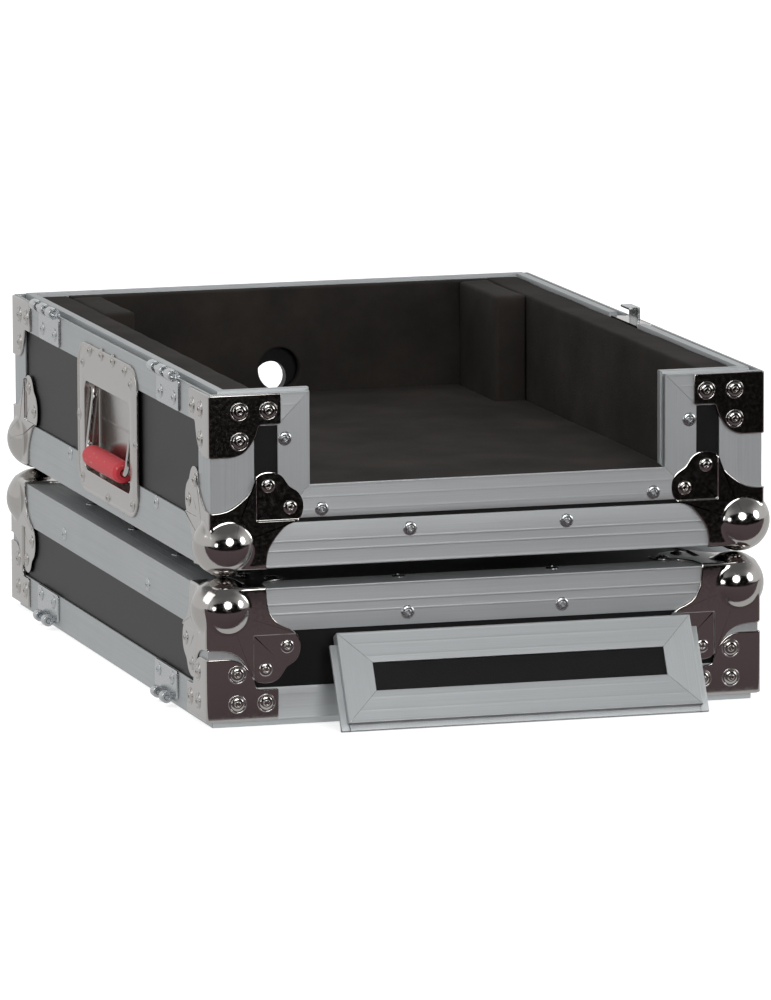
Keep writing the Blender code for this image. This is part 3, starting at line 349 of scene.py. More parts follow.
def feed(node, **sockets):
    """Fills a node's sockets. A keyword is a socket's name with _ for a space, or _ and its number; it
    takes a value, or a socket or node to link from."""
    for name, value in sockets.items():
        socket = node.inputs[int(name[1:])] if name[1:].isdigit() else node.inputs[name.replace("_", " ")]
        if isinstance(value, bpy.types.Node):
            value = value.outputs[0]
        if isinstance(value, bpy.types.NodeSocket):
            node.id_data.links.new(value, socket)
        else:
            socket.default_value = value


def add(tree, kind, settings=None, stops=(), **sockets):
    """Adds a node with its settings, its ramp's stops and its sockets filled."""
    node = tree.nodes.new("ShaderNode" + kind)
    for name, value in (settings or {}).items():
        setattr(node, name, value)
    feed(node, **sockets)
    for element, (position, colour) in zip(list(node.color_ramp.elements) if stops else (), stops):
        element.position = position
        element.color = colour
    return node


def noise(place, scale, detail, **more):
    return add(place.id_data, "TexNoise", Vector=place, Scale=scale, Detail=detail, **more)


def bump(height, strength, distance):
    return add(height.id_data, "Bump", Height=height, Strength=strength, Distance=distance)


def spread(value, start, end, first, last, **settings):
    """A value's range from start to end, mapped to one from first to last."""
    return add(value.id_data, "MapRange", settings, _0=value, _1=start, _2=end, _3=first, _4=last)


def either(a, b):
    """The larger of two, so one for either kind of ray."""
    return add(a.id_data, "Math", {"operation": "MAXIMUM"}, _0=a, _1=b)


def blank(name):
    """A new material, its node tree, its Principled shader and the place on the object in metres."""
    material = bpy.data.materials.new(name)
    material.use_nodes = True
    tree = material.node_tree
    return material, tree, tree.nodes["Principled BSDF"], add(tree, "TexCoord").outputs["Object"]


def satin_aluminium():
    """Extruded aluminium, satin: die lines run along each length and draw its highlights out across them."""
    material, tree, shader, place = blank("satin_aluminium")
    # Die lines about 1 mm apart and some 150 mm long; the real ones are finer than a pixel
    lines = add(tree, "Mapping", Vector=place.node.outputs["UV"], Scale=(7.0, 900.0, 1.0))
    streaks = noise(lines.outputs[0], 1.0, 2.0, Roughness=0.6)
    # Handling marks a few centimetres across
    cloud = noise(place, 28.0, 3.0)
    grey = add(tree, "Mix", {"data_type": "RGBA"}, _0=streaks, _6=tone("#b3b7b9"), _7=tone("#c6c9ca"))
    feed(shader, Base_Color=grey.outputs[2], Metallic=1.0, Roughness=spread(cloud, 0.3, 0.7, 0.5, 0.57))
    # The lines run along U of the surface coordinates, and the light is drawn out a quarter turn from them
    along = add(tree, "Tangent", {"direction_type": "UV_MAP", "uv_map": "surface"})
    feed(shader, Anisotropic=0.3, Anisotropic_Rotation=0.25, Tangent=along)
    feed(shader, Normal=bump(streaks, 0.22, 0.0001))
    return material


def chromed_steel(name, smooth, dull):
    """Chrome on pressed steel: mirror-like, with the faint unevenness of pressing and fine wiping marks,
    and duller where hands have rubbed it."""
    material, tree, shader, place = blank(name)
    waves, wiping = noise(place, 70.0, 1.0), noise(place, 420.0, 3.0)
    feed(shader, Base_Color=tone("#bab7b4"), Metallic=1.0, Roughness=spread(wiping, 0.35, 0.7, smooth, dull))
    feed(shader, Normal=bump(waves, 0.05, 0.0006))
    return material


def zinc_plated_steel():
    """Bright zinc plate: a silvery metal with soft-edged reflections and a grain like frost."""
    material, tree, shader, place = blank("zinc_plated_steel")
    grain = noise(place, 900.0, 2.0)
    feed(shader, Base_Color=tone("#bfc2c4"), Metallic=1.0, Roughness=spread(grain, 0.3, 0.7, 0.18, 0.32))
    feed(shader, Normal=bump(grain, 0.12, 0.0001))
    return material


def laminate():
    """Phenolic laminate on birch ply: near black, its pebbled grain breaks the light into specks."""
    material, tree, shader, place = blank("laminated_plywood")
    # Pebbles about 1.2 mm across
    pebbles = add(tree, "TexVoronoi", Vector=place, Scale=830.0).outputs["Distance"]
    cloud = noise(place, 40.0, 4.0)
    black = add(tree, "Mix", {"data_type": "RGBA"}, _0=cloud, _6=tone("#090809"), _7=tone("#111012"))
    feed(shader, Base_Color=black.outputs[2], Roughness=0.4, Specular_IOR_Level=0.22)
    feed(shader, Normal=bump(pebbles, 0.22, 0.0003))
    return material


def dark_foam():
    """Closed-cell foam: dull dark brown-grey, mottled where it has been rubbed, and finely pitted."""
    material, tree, shader, place = blank("dark_foam")
    cloud, cells = noise(place, 14.0, 6.0, Roughness=0.62), noise(place, 900.0, 2.0)
    brown = add(tree, "ValToRGB", stops=((0.32, tone("#1f1c1a")), (0.72, tone("#332e2a"))), Fac=cloud)
    feed(shader, Base_Color=brown, Roughness=0.95, Specular_IOR_Level=0.25, Normal=bump(cells, 0.6, 0.0004))
    return material


def red_rubber():
    """Moulded red rubber: soft highlights, a fine matt grain and pale dust in its pores."""
    material, tree, shader, place = blank("red_rubber")
    grain, dust = noise(place, 700.0, 3.0), noise(place, 330.0, 1.0)
    specks = add(tree, "ValToRGB", stops=((0.68, tone("#c62f3b")), (0.74, tone("#c98a66"))), Fac=dust)
    feed(shader, Base_Color=specks, Roughness=0.55, Normal=bump(grain, 0.35, 0.0004))
    return material


# Each finish is a material and the name of a slot
ALUMINIUM = satin_aluminium(), "satin_aluminium"
CHROME = chromed_steel("chromed_steel", 0.07, 0.16), "chromed_steel"
RUBBED_CHROME = chromed_steel("rubbed_chrome", 0.21, 0.25), "chromed_steel"
ZINC = zinc_plated_steel(), "zinc_plated_steel"
LAMINATE = laminate()
FOAM = dark_foam(), "dark_foam"
RUBBER = red_rubber(), "red_rubber"


# ---- extrusions


def beaded(start, end, beads, sunk=0.12):
    """An extrusion's outer face as (depth, height) corners: a hair sunk, but level at its end and beads."""
    way = 1.0 if end > start else -1.0
    bump_rows = ((sunk, -0.8), (0.02, -0.35), (0.02, 0.35), (sunk, 0.8))
    rows = [(sunk, start)]
    for bead in beads:
        rows += [(depth, bead + off * way) for depth, off in bump_rows]
    return rows + [(sunk, end - 1.7 * way), (0.0, end - 1.1 * way)]


def angle(width, beads):
    """The edging's equal angle: two beaded flanges of one width that meet in a rounded corner."""
    upright = beaded(width, 0.0, beads)
    flat = [(b, a) for a, b in reversed(upright)]
    rows = upright + [(0.0, 0.0)] + flat + [(width, 1.5), (1.5, 1.5), (1.5, width)]
    fine = [0.3] * (len(upright) - 1)
    return eased(rows, [0.15] + fine + [1.8] + fine + [0.15] * 4)


def rim_profile(rows, hooks, ease=0.5):
    """A rim's closed rows, with fine corners on its beaded face, a round one at its edge and others on
    its hooks."""
    return eased(rows, [0.15] + [0.3] * (len(rows) - hooks - 2) + [0.9] + [ease] * hooks)


# Closed rows of (depth behind the outer face, height from the parting line), as the CAD profiles have them
RIM_BEADS = (17.3, 8.6)
FEMALE_FACE = beaded(-22.0, 0.0, [-bead for bead in RIM_BEADS], 0.06) + [(0.0, 0.0), (1.6, 0.0), (1.6, -4.4)]
FEMALE_FOOT = [(12.5, -9.5), (11.0, -9.5), (11.0, -6.0), (1.5, -6.0), (1.5, -22.0)]
RIM_FEMALE = rim_profile(FEMALE_FACE + [(6.8, -4.4), (6.8, 1.4), (12.5, 1.4)] + FEMALE_FOOT, 10)
# The sill is sunk behind its outer lip, where the flap's heel drops in
SILL = rim_profile(FEMALE_FACE + [(12.5, -4.4)] + FEMALE_FOOT, 8)
MALE_HOOKS = [(3.7, 0.0), (3.7, -4.2), (6.3, -4.2), (6.3, 1.8), (12.5, 1.8), (12.5, 10.0)]
MALE_HOOKS += [(11.0, 10.0), (11.0, 6.0), (1.5, 6.0), (1.5, 22.0)]
RIM_MALE = rim_profile(beaded(22.0, 0.0, RIM_BEADS, 0.06) + [(0.0, 0.0)] + MALE_HOOKS, 10)
LID_ANGLE = angle(28.9, (18.0, 11.6))
TRAY_ANGLE = angle(29.9, (17.3, 10.8))
# The tray's bottom edging stands this much proud of the tray's floor
EDGING_DROP = 0.8
# The edging ends this far from the case's corners, under the balls
UNDER_BALL = 5.0
# The rims end at the latch's dishes
HALF_LATCH = 32.3


def at_corner(profile, sx, sy, z, up=1, slip=(0.0, 0.0)):
    """A profile in the mitre plane of one corner of the case, slipped along the length by a hair."""
    depth, height = profile.T
    return np.stack([sx * (HALF_W - depth) + slip[0], sy * (HALF_D - depth) + slip[1], z + up * height], 1)


def between_corners(profile, first, second, z, up=1, hair=HAIR):
    """A length from one corner of the case to the next, mitred at both ends."""
    (ax, ay), (bx, by) = CORNERS[first], CORNERS[second]
    way = np.array([np.sign(bx - ax), np.sign(by - ay)]) * hair
    return length_of([at_corner(profile, ax, ay, z, up, way), at_corner(profile, bx, by, z, up, -way)])


def short_of(profile, near, y, z, hair=HAIR):
    """The two ends of a length that goes along a side wall from a place y to the corner on its side."""
    corner = at_corner(profile, *CORNERS[near], z, 1, (0.0, -math.copysign(hair, y)))
    gap = corner.copy()
    gap[:, 1] = y
    return gap, corner


def upright_at(sx, sy, low, high):
    """The upright angle on one corner: the same profile with its height turned along the other wall."""
    depth, along = TRAY_ANGLE.T
    flat = np.stack([sx * (HALF_W - depth), sy * (HALF_D - along)], 1)
    return length_of([np.column_stack([flat, np.full(len(flat), z)]) for z in (low, high)])


def build_extrusions():
    """The edging and rims of lid and tray, in lengths that meet at mitres with a hair between them."""
    top = TRAY_HEIGHT
    around = [(0, 1), (1, 2), (2, 3), (3, 0)]
    lengths = [between_corners(LID_ANGLE, a, b, LID_HEIGHT, -1, UNDER_BALL) for a, b in around]
    lengths += [upright_at(sx, sy, PARTING + 22.3, LID_HEIGHT - 29.7) for sx, sy in CORNERS]
    shape("lid_edging_lengths", lengths, "lid", ALUMINIUM, "lid_edging")

    # Both rims are open at the latch, where its dish goes through them
    latch_ends = (("front", 1, -HALF_LATCH), ("rear", 2, HALF_LATCH))
    rim = [between_corners(RIM_MALE, a, b, PARTING) for a, b in ((0, 1), (2, 3), (3, 0))]
    rim += [length_of(short_of(RIM_MALE, near, y, PARTING)) for _, near, y in latch_ends]
    shape("lid_rim_lengths", rim, "lid", ALUMINIUM, "lid_rim")

    # The left length is notched for the handle's dish, and comes after these three
    lengths = [between_corners(TRAY_ANGLE, a, b, -EDGING_DROP, 1, UNDER_BALL) for a, b in around[:3]]
    shape("tray_edging_lengths", lengths, "tray", ALUMINIUM)
    singles = {}
    for name, (sx, sy) in zip(CORNER_NAMES, CORNERS):
        singles["corner_edging_" + name] = upright_at(sx, sy, 30.3, top - 22.3)
    singles["rim_left"] = between_corners(RIM_FEMALE, 3, 0, top)
    singles["rim_rear"] = between_corners(RIM_FEMALE, 2, 3, top)
    for name, near, y in latch_ends:
        singles["rim_right_" + name] = length_of(short_of(RIM_FEMALE, near, y, top))
    for name, length in singles.items():
        shape(f"tray_{name}_length", [length], "tray", ALUMINIUM, "tray_" + name)

    depth, height = RIM_FEMALE.T
    y = depth - HALF_D
    for name, near, side in (("left", 0, -1), ("right", 1, 1)):
        end = at_corner(RIM_FEMALE, *CORNERS[near], top, 1, (-side * HAIR, 0.0))
        x = side * (HALF_CUT - height)
        turn = np.stack([x + side * HAIR, y, top + height], 1)
        post_top = np.stack([x, y, top + height - HAIR], 1)
        foot = np.stack([x, y, SILL_Z + height + HAIR], 1)
        node = "cutout_post_" + name
        post = [length_of([end, turn]), length_of([post_top, foot])]
        shape(node + "_lengths", post, "tray", ALUMINIUM, node)
    depth, height = SILL.T
    ends = [np.stack([s * (HALF_CUT - height - HAIR), depth - HALF_D, SILL_Z + height], 1) for s in (-1, 1)]
    shape("cutout_sill_length", [length_of(ends)], "tray", ALUMINIUM, "cutout_sill")


def build_left_edging():
    """The tray's left bottom edging, cut down to its lower part where the handle's dish is."""
    notch_low, half_notch = TRAY_HEIGHT - 97.6, 62.6
    patches = []
    for near, y in ((3, half_notch), (0, -half_notch)):
        gap, corner = short_of(TRAY_ANGLE, near, y, -EDGING_DROP, UNDER_BALL)
        patches.append(length_of([corner, gap]))
    low = TRAY_ANGLE.copy()
    low[:, 1] = np.minimum(low[:, 1], notch_low)
    ends = [short_of(low, near, y, -EDGING_DROP)[0] for near, y in ((0, -half_notch), (3, half_notch))]
    patches.append(length_of(ends))
    shape("tray_edging_left_length", patches, "tray", ALUMINIUM, "tray_bottom_edging")


# ---- rivets

# Rows of (radius, height): a blind rivet's eye, the rolled edge round it and its low head
RIVET = [(0.0, -0.28), (1.1, -0.28), (1.2, 0.4), (1.25, 1.15), (1.4, 1.42), (1.7, 1.5), (2.05, 1.38)]
RIVET += [(2.3, 1.05), (2.42, 0.95), (2.6, 0.97), (3.3, 0.9), (4.0, 0.7), (4.55, 0.38), (4.75, 0.1)]
RIVET += [(4.75, -0.3), (0.0, -0.3)]
RING = [(5.2, -0.2), (5.35, 0.14), (5.6, 0.3), (5.95, 0.32), (6.2, 0.16), (6.35, -0.2), (5.2, -0.2)]


def rivets(place, spots, height, ringed=False):
    """Rivet heads on a seat, each turned about its own axis; a ringed one sits in a pressed ring."""
    patches = []
    for centre in on(place, spots, height):
        patches.append(turned(RIVET, centre, place[3], 22))
        if ringed:
            patches.append(turned(RING, centre, place[3], 30))
    return patches


# ---- pressed corners

# The ball's radius, and its centre's insets from the case's sides and from its top or bottom
BALL_RADIUS = 21.2
BALL_AT = {"lid": (13.6, 14.35), "tray": (12.35, 14.35)}
# The plate's outline on one side of the ball, from the case's edge to the step; the other mirrors it
PLATE_RUN = {
    "lid": [(39.8, -1.6), (40.3, 5.0), (41.0, 11.5), (43.1, 17.7), (46.9, 22.6), (51.5, 25.4), (56.4, 27.6)],
    "tray": [(37.7, -1.6), (38.0, 5.0), (39.4, 11.5), (42.9, 17.7), (46.8, 22.6), (50.3, 26.2), (54.6, 28.8)],
}
RUN_END, STEP = 60.2, 30.6
# The two lobes beyond the step, each under a rivet, with a notch between them
LOBES = [(RUN_END, STEP), (62.6, 34.6), (63.4, 39.6), (62.8, 44.4), (60.3, 48.8), (56.6, 51.6), (53.6, 53.6)]
LOBES = through(LOBES + [(b, a) for a, b in LOBES[-2:0:-1]] + [(STEP, RUN_END)])
LOBES_SUNK = 1.25
# The box corner's edge radius and planed vertex; the ball's foot, and how wide the crease round it is
EDGE_ROUND, VERTEX_PLANE = 2.4, 19.4
FOOT_WIDE, FOOT_HIGH, CREASE = 0.5, 1.5, 0.9


def corner_field(p, centre):
    """How far a point is outside the pressed corner, below zero inside it: a box corner with round edges,
    its vertex planed off, and the ball. Near the box the ball is wider by w (1 - h / t)^2, h being the
    height off the box, and a polynomial soft minimum rounds the crease."""
    inside = EDGE_ROUND - (p + SKIN)
    box = np.linalg.norm(np.maximum(inside, 0), axis=-1) - EDGE_ROUND + np.minimum(inside.max(-1), 0)
    box = np.maximum(box, (centre - p).sum(-1) / math.sqrt(3) - VERTEX_PLANE)
    foot = FOOT_WIDE * np.clip(1 - np.maximum(box, 0) / FOOT_HIGH, 0, 1) ** 2
    ball = np.linalg.norm(p - centre, axis=-1) - BALL_RADIUS - foot
    share = np.clip(0.5 + 0.5 * (box - ball) / CREASE, 0, 1)
    return box * (1 - share) + ball * share - CREASE * share * (1 - share)


def onto_corner(p, centre):
    """Points moved onto the field's zero by Newton steps along its gradient, from central differences."""
    p = p.copy()
    nudge = 0.02
    for _ in range(9):
        rise = [corner_field(p + d, centre) - corner_field(p - d, centre) for d in nudge * np.eye(3)]
        slope = np.stack(rise, -1) / (2 * nudge)
        square = np.maximum((slope**2).sum(-1, keepdims=True), 0.2)
        p -= corner_field(p, centre)[..., None] * slope / square
    return p


def corner_face(ball, run):
    """One plate of a pressed corner with its ball, a polar grid about the ball's top: columns go to the
    outline's points, rows from the top to the border, round the rim and to the back. The lobes below the
    step are a second grid, with a fine lip round their edge."""
    edge = spaced([(-SKIN, -SKIN), run[0]], 1.7)
    run = spaced(through(run + [(RUN_END, STEP)], 5), 1.6)
    step = spaced([(RUN_END, STEP), (STEP, STEP), (STEP, RUN_END)], 1.6)
    outline = np.concatenate([edge[:-1], run[:-1], step[:-1], run[::-1, ::-1][:-1], edge[::-1, ::-1][:-1]])
    # The plate ends freely along its runs, and goes on into another patch elsewhere
    counts = [len(edge) - 1, len(run), len(step) - 2, len(run), len(edge) - 2]
    free = np.repeat([False, True, False, True, False], counts)
    roll, flat_rim = 0.8, 5.0
    centre = ball[:2]
    spoke = np.where(free[:, None], drawn_in(outline, roll), outline) - centre
    reach = np.linalg.norm(spoke, axis=1)
    spoke /= reach[:, None]
    # Rows are close together where the ball meets the plate
    dome_rim = 19.0
    rounds = [*np.linspace(0, 12.5, 9), 13.4, 14.2, 14.8, 15.3, 15.7, 16.1, 16.5, 17.0, 17.8, dome_rim]
    dome = np.minimum(dome_rim, reach - flat_rim)
    radii = [dome * (s / dome_rim) for s in rounds]
    radii.append(dome + (reach - flat_rim - dome) * 0.5)
    radii += [reach - d for d in (flat_rim, 3.4, 2.4, 1.6, 0.9, 0.4, 0.0)]
    flat = centre + np.stack(radii)[..., None] * spoke
    top = onto_corner(np.concatenate([flat, np.full(flat.shape[:2] + (1,), -SKIN)], -1), ball)
    last, lift = top[-1, :, :2], -top[-1, :, 2]
    rim = []
    for t in np.linspace(0, QUARTER, 5)[1:]:
        rolled = np.where(free[:, None], drawn_in(outline, roll * (1 - math.sin(t))), last)
        rim.append(np.column_stack([rolled, -np.where(free, lift - roll * (1 - math.cos(t)), lift)]))
    rim.append(np.column_stack([np.where(free[:, None], outline, last), -np.where(free, 0.05, lift)]))
    main = np.concatenate([top, np.stack(rim)])

    lobe = spaced(LOBES, 1.6)
    border = np.concatenate([lobe[:-1], step[::-1][:-1]])
    lobed = np.repeat([True, False], [len(lobe), len(step) - 2])
    level = SKIN - LOBES_SUNK
    rows, heights = [border], [np.where(lobed, 0.05, SKIN)]
    for t in np.linspace(0, QUARTER, 4):
        rows.append(np.where(lobed[:, None], drawn_in(border, roll * math.cos(t)), border))
        heights.append(np.where(lobed, level - 0.32 * (1 - math.cos(t)), SKIN))
    step_rows = ((0.0, 0.0), (0.12, 0.05), (0.3, 0.3), (0.5, 0.7), (0.75, 0.95), (1.1, 1.0), (2.2, 1.0))
    for inset, drop in step_rows:
        rows.append(np.where(lobed[:, None], drawn_in(border, roll + inset * 0.3), drawn_in(border, inset)))
        heights.append(np.where(lobed, level, SKIN - LOBES_SUNK * drop))
    rows += between(rows[-1], np.array([45.0, 45.0]), np.linspace(0, 1, 5)[1:])
    heights += [heights[-1]] * 4
    pad = np.concatenate([np.stack(rows), -np.stack(heights)[..., None]], -1)
    return looped(main), looped(pad)


def on_each_corner(stem, patches, body, z, over, sharp):
    """One pressing on each corner of a body, by quarter turns; over, x, y, z go to y, x, -z."""
    swap = np.array([[0, 1, 0], [1, 0, 0], [0, 0, -1.0]]) if over else np.eye(3)
    for index, (name, (sx, sy)) in enumerate(zip(CORNER_NAMES, CORNERS)):
        turn = np.array(Matrix.Rotation(QUARTER * index, 3, "Z")) @ swap
        place = np.array([sx * HALF_W, sy * HALF_D, z])
        here = [(points @ turn.T + place, faces, seam) for points, faces, seam in patches]
        node = f"{body}_{stem}_{name}"
        shape(node + "_pressing", here, body, CHROME, node, sharp=sharp)


def build_corners():
    """A pressed corner with its six rivets on each of the case's eight corners."""
    heads = []
    for across, up in ((Y, X), (Z, Y), (X, Z)):
        heads += rivets(seat((0, 0, 0), across, up), [(39.4, 54.3), (54.3, 39.4)], SKIN - LOBES_SUNK)
    for body, z, over in (("lid", LID_HEIGHT, True), ("tray", 0.0, False)):
        across, deep = BALL_AT[body]
        patches = []
        for order in ([0, 1, 2], [2, 0, 1], [1, 2, 0]):
            ball = np.array([across, across, deep])[np.argsort(order)]
            grids = [grid[..., order] for grid in corner_face(ball, PLATE_RUN[body])]
            patches += [skin(grid, grid[..., :2]) for grid in grids]
        on_each_corner("ball", patches + heads, body, z, over, 50)


def bracket_grids():
    """A rim bracket, laid out flat as (u, z, out) with u running from one wall to the other. It goes to
    the walls where |u| > 1.57 mm and to a quarter circle between."""
    wide, high, low = 49.2, 42.5, 0.6
    right = [(QUARTER, low), (48.0, low), (48.9, 0.9), (wide, 1.8), (wide, 20.2), (48.9, 21.0), (48.0, 21.3)]
    curve = [(36.4, 21.3), (34.6, 21.9), (33.5, 23.6), (32.4, 27.2), (30.2, 32.0), (26.6, 37.0), (22.0, 40.6)]
    right = np.concatenate([right, through(curve + [(15.6, 42.4), (9.0, high)], 4), [(QUARTER, high)]])
    arc = np.linspace(QUARTER, -QUARTER, 9)[1:-1]
    top = np.column_stack([arc, np.full(len(arc), high)])
    bottom = np.column_stack([arc[::-1], np.full(len(arc), low)])
    outline = np.concatenate([right, top, right[::-1] * [-1, 1], bottom])
    count, inner = len(right), len(arc)
    inset, height = edge_rows(SKIN, BACK, 0.7, 0.0)
    edge = [drawn_in(outline, i) for i in inset]
    rim = np.stack([np.column_stack([flat, np.full(len(flat), h)]) for flat, h in zip(edge, height)])

    def wall(row, first, last):
        ring = np.concatenate([row[first:last], row[first : first + 1]])
        centre = np.array([math.copysign(18.0, ring[:, 0].mean()), 13.0, ring[0, 2]])
        return np.stack([ring, ring * 0.5 + centre * 0.5, np.broadcast_to(centre, ring.shape)])

    def strip(row):
        lower = np.concatenate([row[-inner - 1 :], row[:1]])[::-1]
        return np.stack([lower, row[count - 1 : count + inner + 1]])

    grids = [looped(rim)]
    for row in (rim[0], rim[-1]):
        grids += [wall(row, 0, count), wall(row, count + inner, 2 * count + inner), strip(row)]
    return grids


def wrapped(laid_out):
    """Laid-out points (u, z, out) bent round the corner's vertical edge."""
    u, z, out = laid_out[..., 0], laid_out[..., 1], laid_out[..., 2]
    inner = 0.4
    turn = np.clip((QUARTER - u) / 2, 0, QUARTER)
    radius = out + inner
    x = np.where(u > QUARTER, inner + u - QUARTER, inner - radius * np.sin(turn))
    y = np.where(u > QUARTER, -out, inner - radius * np.cos(turn))
    x = np.where(u < -QUARTER, -out, x)
    y = np.where(u < -QUARTER, inner - u - QUARTER, y)
    return np.stack([x, y, z], -1)


def build_brackets():
    """A rim bracket with its six ringed rivets on each corner of both rims."""
    patches = [skin(wrapped(grid), grid[..., :2]) for grid in bracket_grids()]
    spots = [(19.6, 12.0), (39.4, 12.0), (19.6, 31.8)]
    patches += rivets(seat((0, 0, 0), X, Z), spots, SKIN, True)
    patches += rivets(seat((0, 0, 0), Z, Y), [(b, a) for a, b in spots], SKIN, True)
    on_each_corner("bracket", patches, "lid", PARTING, False, 38)
    on_each_corner("bracket", patches, "tray", TRAY_HEIGHT, True, 38)


# ---- foam


def uneven(points):
    """A slow unevenness in foam: three waves of the place added, about half a millimetre high."""
    x, y, z = points[..., 0], points[..., 1], points[..., 2]
    slow = np.sin(x / 23 + y / 31 + 1.3) * np.sin(z / 19 + y / 43)
    return 0.5 * (slow + 0.6 * np.sin(x / 11 - z / 13 + y / 17) + 0.3 * np.sin(y / 7 + x / 9))


def settled(q, axis, inside, amount):
    """A foam strip's points with its inner face and its top made uneven."""
    q[..., axis] += np.where(inside, uneven(q) * amount, 0.0)
    q[..., 2] += np.where(q[..., 2] > 60, uneven(q) * 0.5, 0.0)
    return q


def left_sag(q):
    """The left strip's unevenness; it is thinner behind the handle's dish."""
    x, y, z = np.moveaxis(q, -1, 0)
    behind = (np.abs(y) < 70) & (z > TRAY_HEIGHT - 103) & (z < TRAY_HEIGHT - 27)
    q[..., 0] = np.where(behind, np.maximum(x, -174.9), x)
    return settled(q, 0, q[..., 0] > -160, 0.6)


def right_sag(q):
    return settled(q, 0, q[..., 0] < 160, -0.6)


def front_sag(q):
    return settled(q, 1, np.abs(q[..., 1]) < 245, 0.4)


def foam(name, patches, body, node):
    """One foam piece."""
    thing = shape(name, patches, body, FOAM, node, sharp=60)


def build_foam():
    """The tray's foam: a strip on each wall, the floor sheet and a block in each rear corner. Then the
    lid's."""
    low, high = 11.0, TRAY_HEIGHT - 1.0
    outer_x, outer_y, inner_x, inner_y, gap = 178.2, 250.2, 155.0, 242.0, 0.4
    for name, (ax, ay), (bx, by, top), step, sag in (
        ("left", (-outer_x, -outer_y), (-inner_x, outer_y, high), 7.0, left_sag),
        ("right", (inner_x, -outer_y), (outer_x, outer_y, high), 7.0, right_sag),
        ("front_left", (-inner_x + gap, -outer_y), (-133.0, -inner_y, high), 9.0, front_sag),
        ("front_right", (133.0, -outer_y), (inner_x - gap, -inner_y, high), 9.0, front_sag),
        ("front_low", (-132.6, -outer_y), (132.6, -inner_y, 44.0), 9.0, front_sag),
    ):
        strip = block((ax, ay, low), (bx, by, top), 1.8, step, sag)
        foam("foam_lining_" + name, strip, "tray", "tray_foam_lining")

    # The rear strip has the round hole for leads through it
    hole_at, hole_radius = np.array([-2.0, TRAY_HEIGHT - 59.4]), 15.25
    edge = inner_x - gap
    outline = spaced_outline([(-edge, low), (edge, low), (edge, high), (-edge, high)], 7.0)
    away = outline - hole_at
    hole = hole_at + hole_radius * away / np.linalg.norm(away, axis=1, keepdims=True)
    place = seat((0, outer_y, 0), X, Z)
    waves = lambda x, y: 0.3 * np.sin(x / 29 + y / 17)
    rear = plate(place, outline, 8.2, 0.0, 1.6, 1.2, hole, rings=14, relief=waves)
    foam("foam_lining_rear", [rear], "tray", "tray_foam_lining")

    x, y = 154.4, 241.4
    notch_x, notch_y = x - 22.6, y - 92.0
    corners = [(-x, -y), (x, -y), (x, notch_y), (notch_x, notch_y)]
    corners += [(notch_x, y), (-notch_x, y), (-notch_x, notch_y), (-x, notch_y)]
    outline = spaced_outline(corners, 9.0)
    place = seat((0, 0, low), X, Y)
    waves = lambda x, y: 0.35 * np.sin(x / 37) * np.sin(y / 41)
    floor = plate(place, outline, 29.8, 0.0, 1.5, 0.5, centre=(0.0, 0.0), rings=16, relief=waves)
    foam("foam_floor_sheet", [floor], "tray", "tray_floor_foam")
    for name, side in (("left", -1), ("right", 1)):
        a, b = sorted((side * x, side * (x - 22.0)))
        pad = block((a, y - 91.4, low), (b, y, high), 2.6, 7.0, lambda q: q + 0.5 * uneven(q)[..., None])
        foam(f"rear_foam_block_{name}_pad", pad, "tray", f"rear_foam_block_{name}")

    pad_x, pad_y, under = 177.4, 249.4, LID_HEIGHT - 1.8 - 8.9 - 0.3
    pad = block((-pad_x, -pad_y, under - 10.0), (pad_x, pad_y, under), 1.8, 14.0)
    foam("lid_foam_sheet", pad, "lid", "lid_pad")


# ---- handle


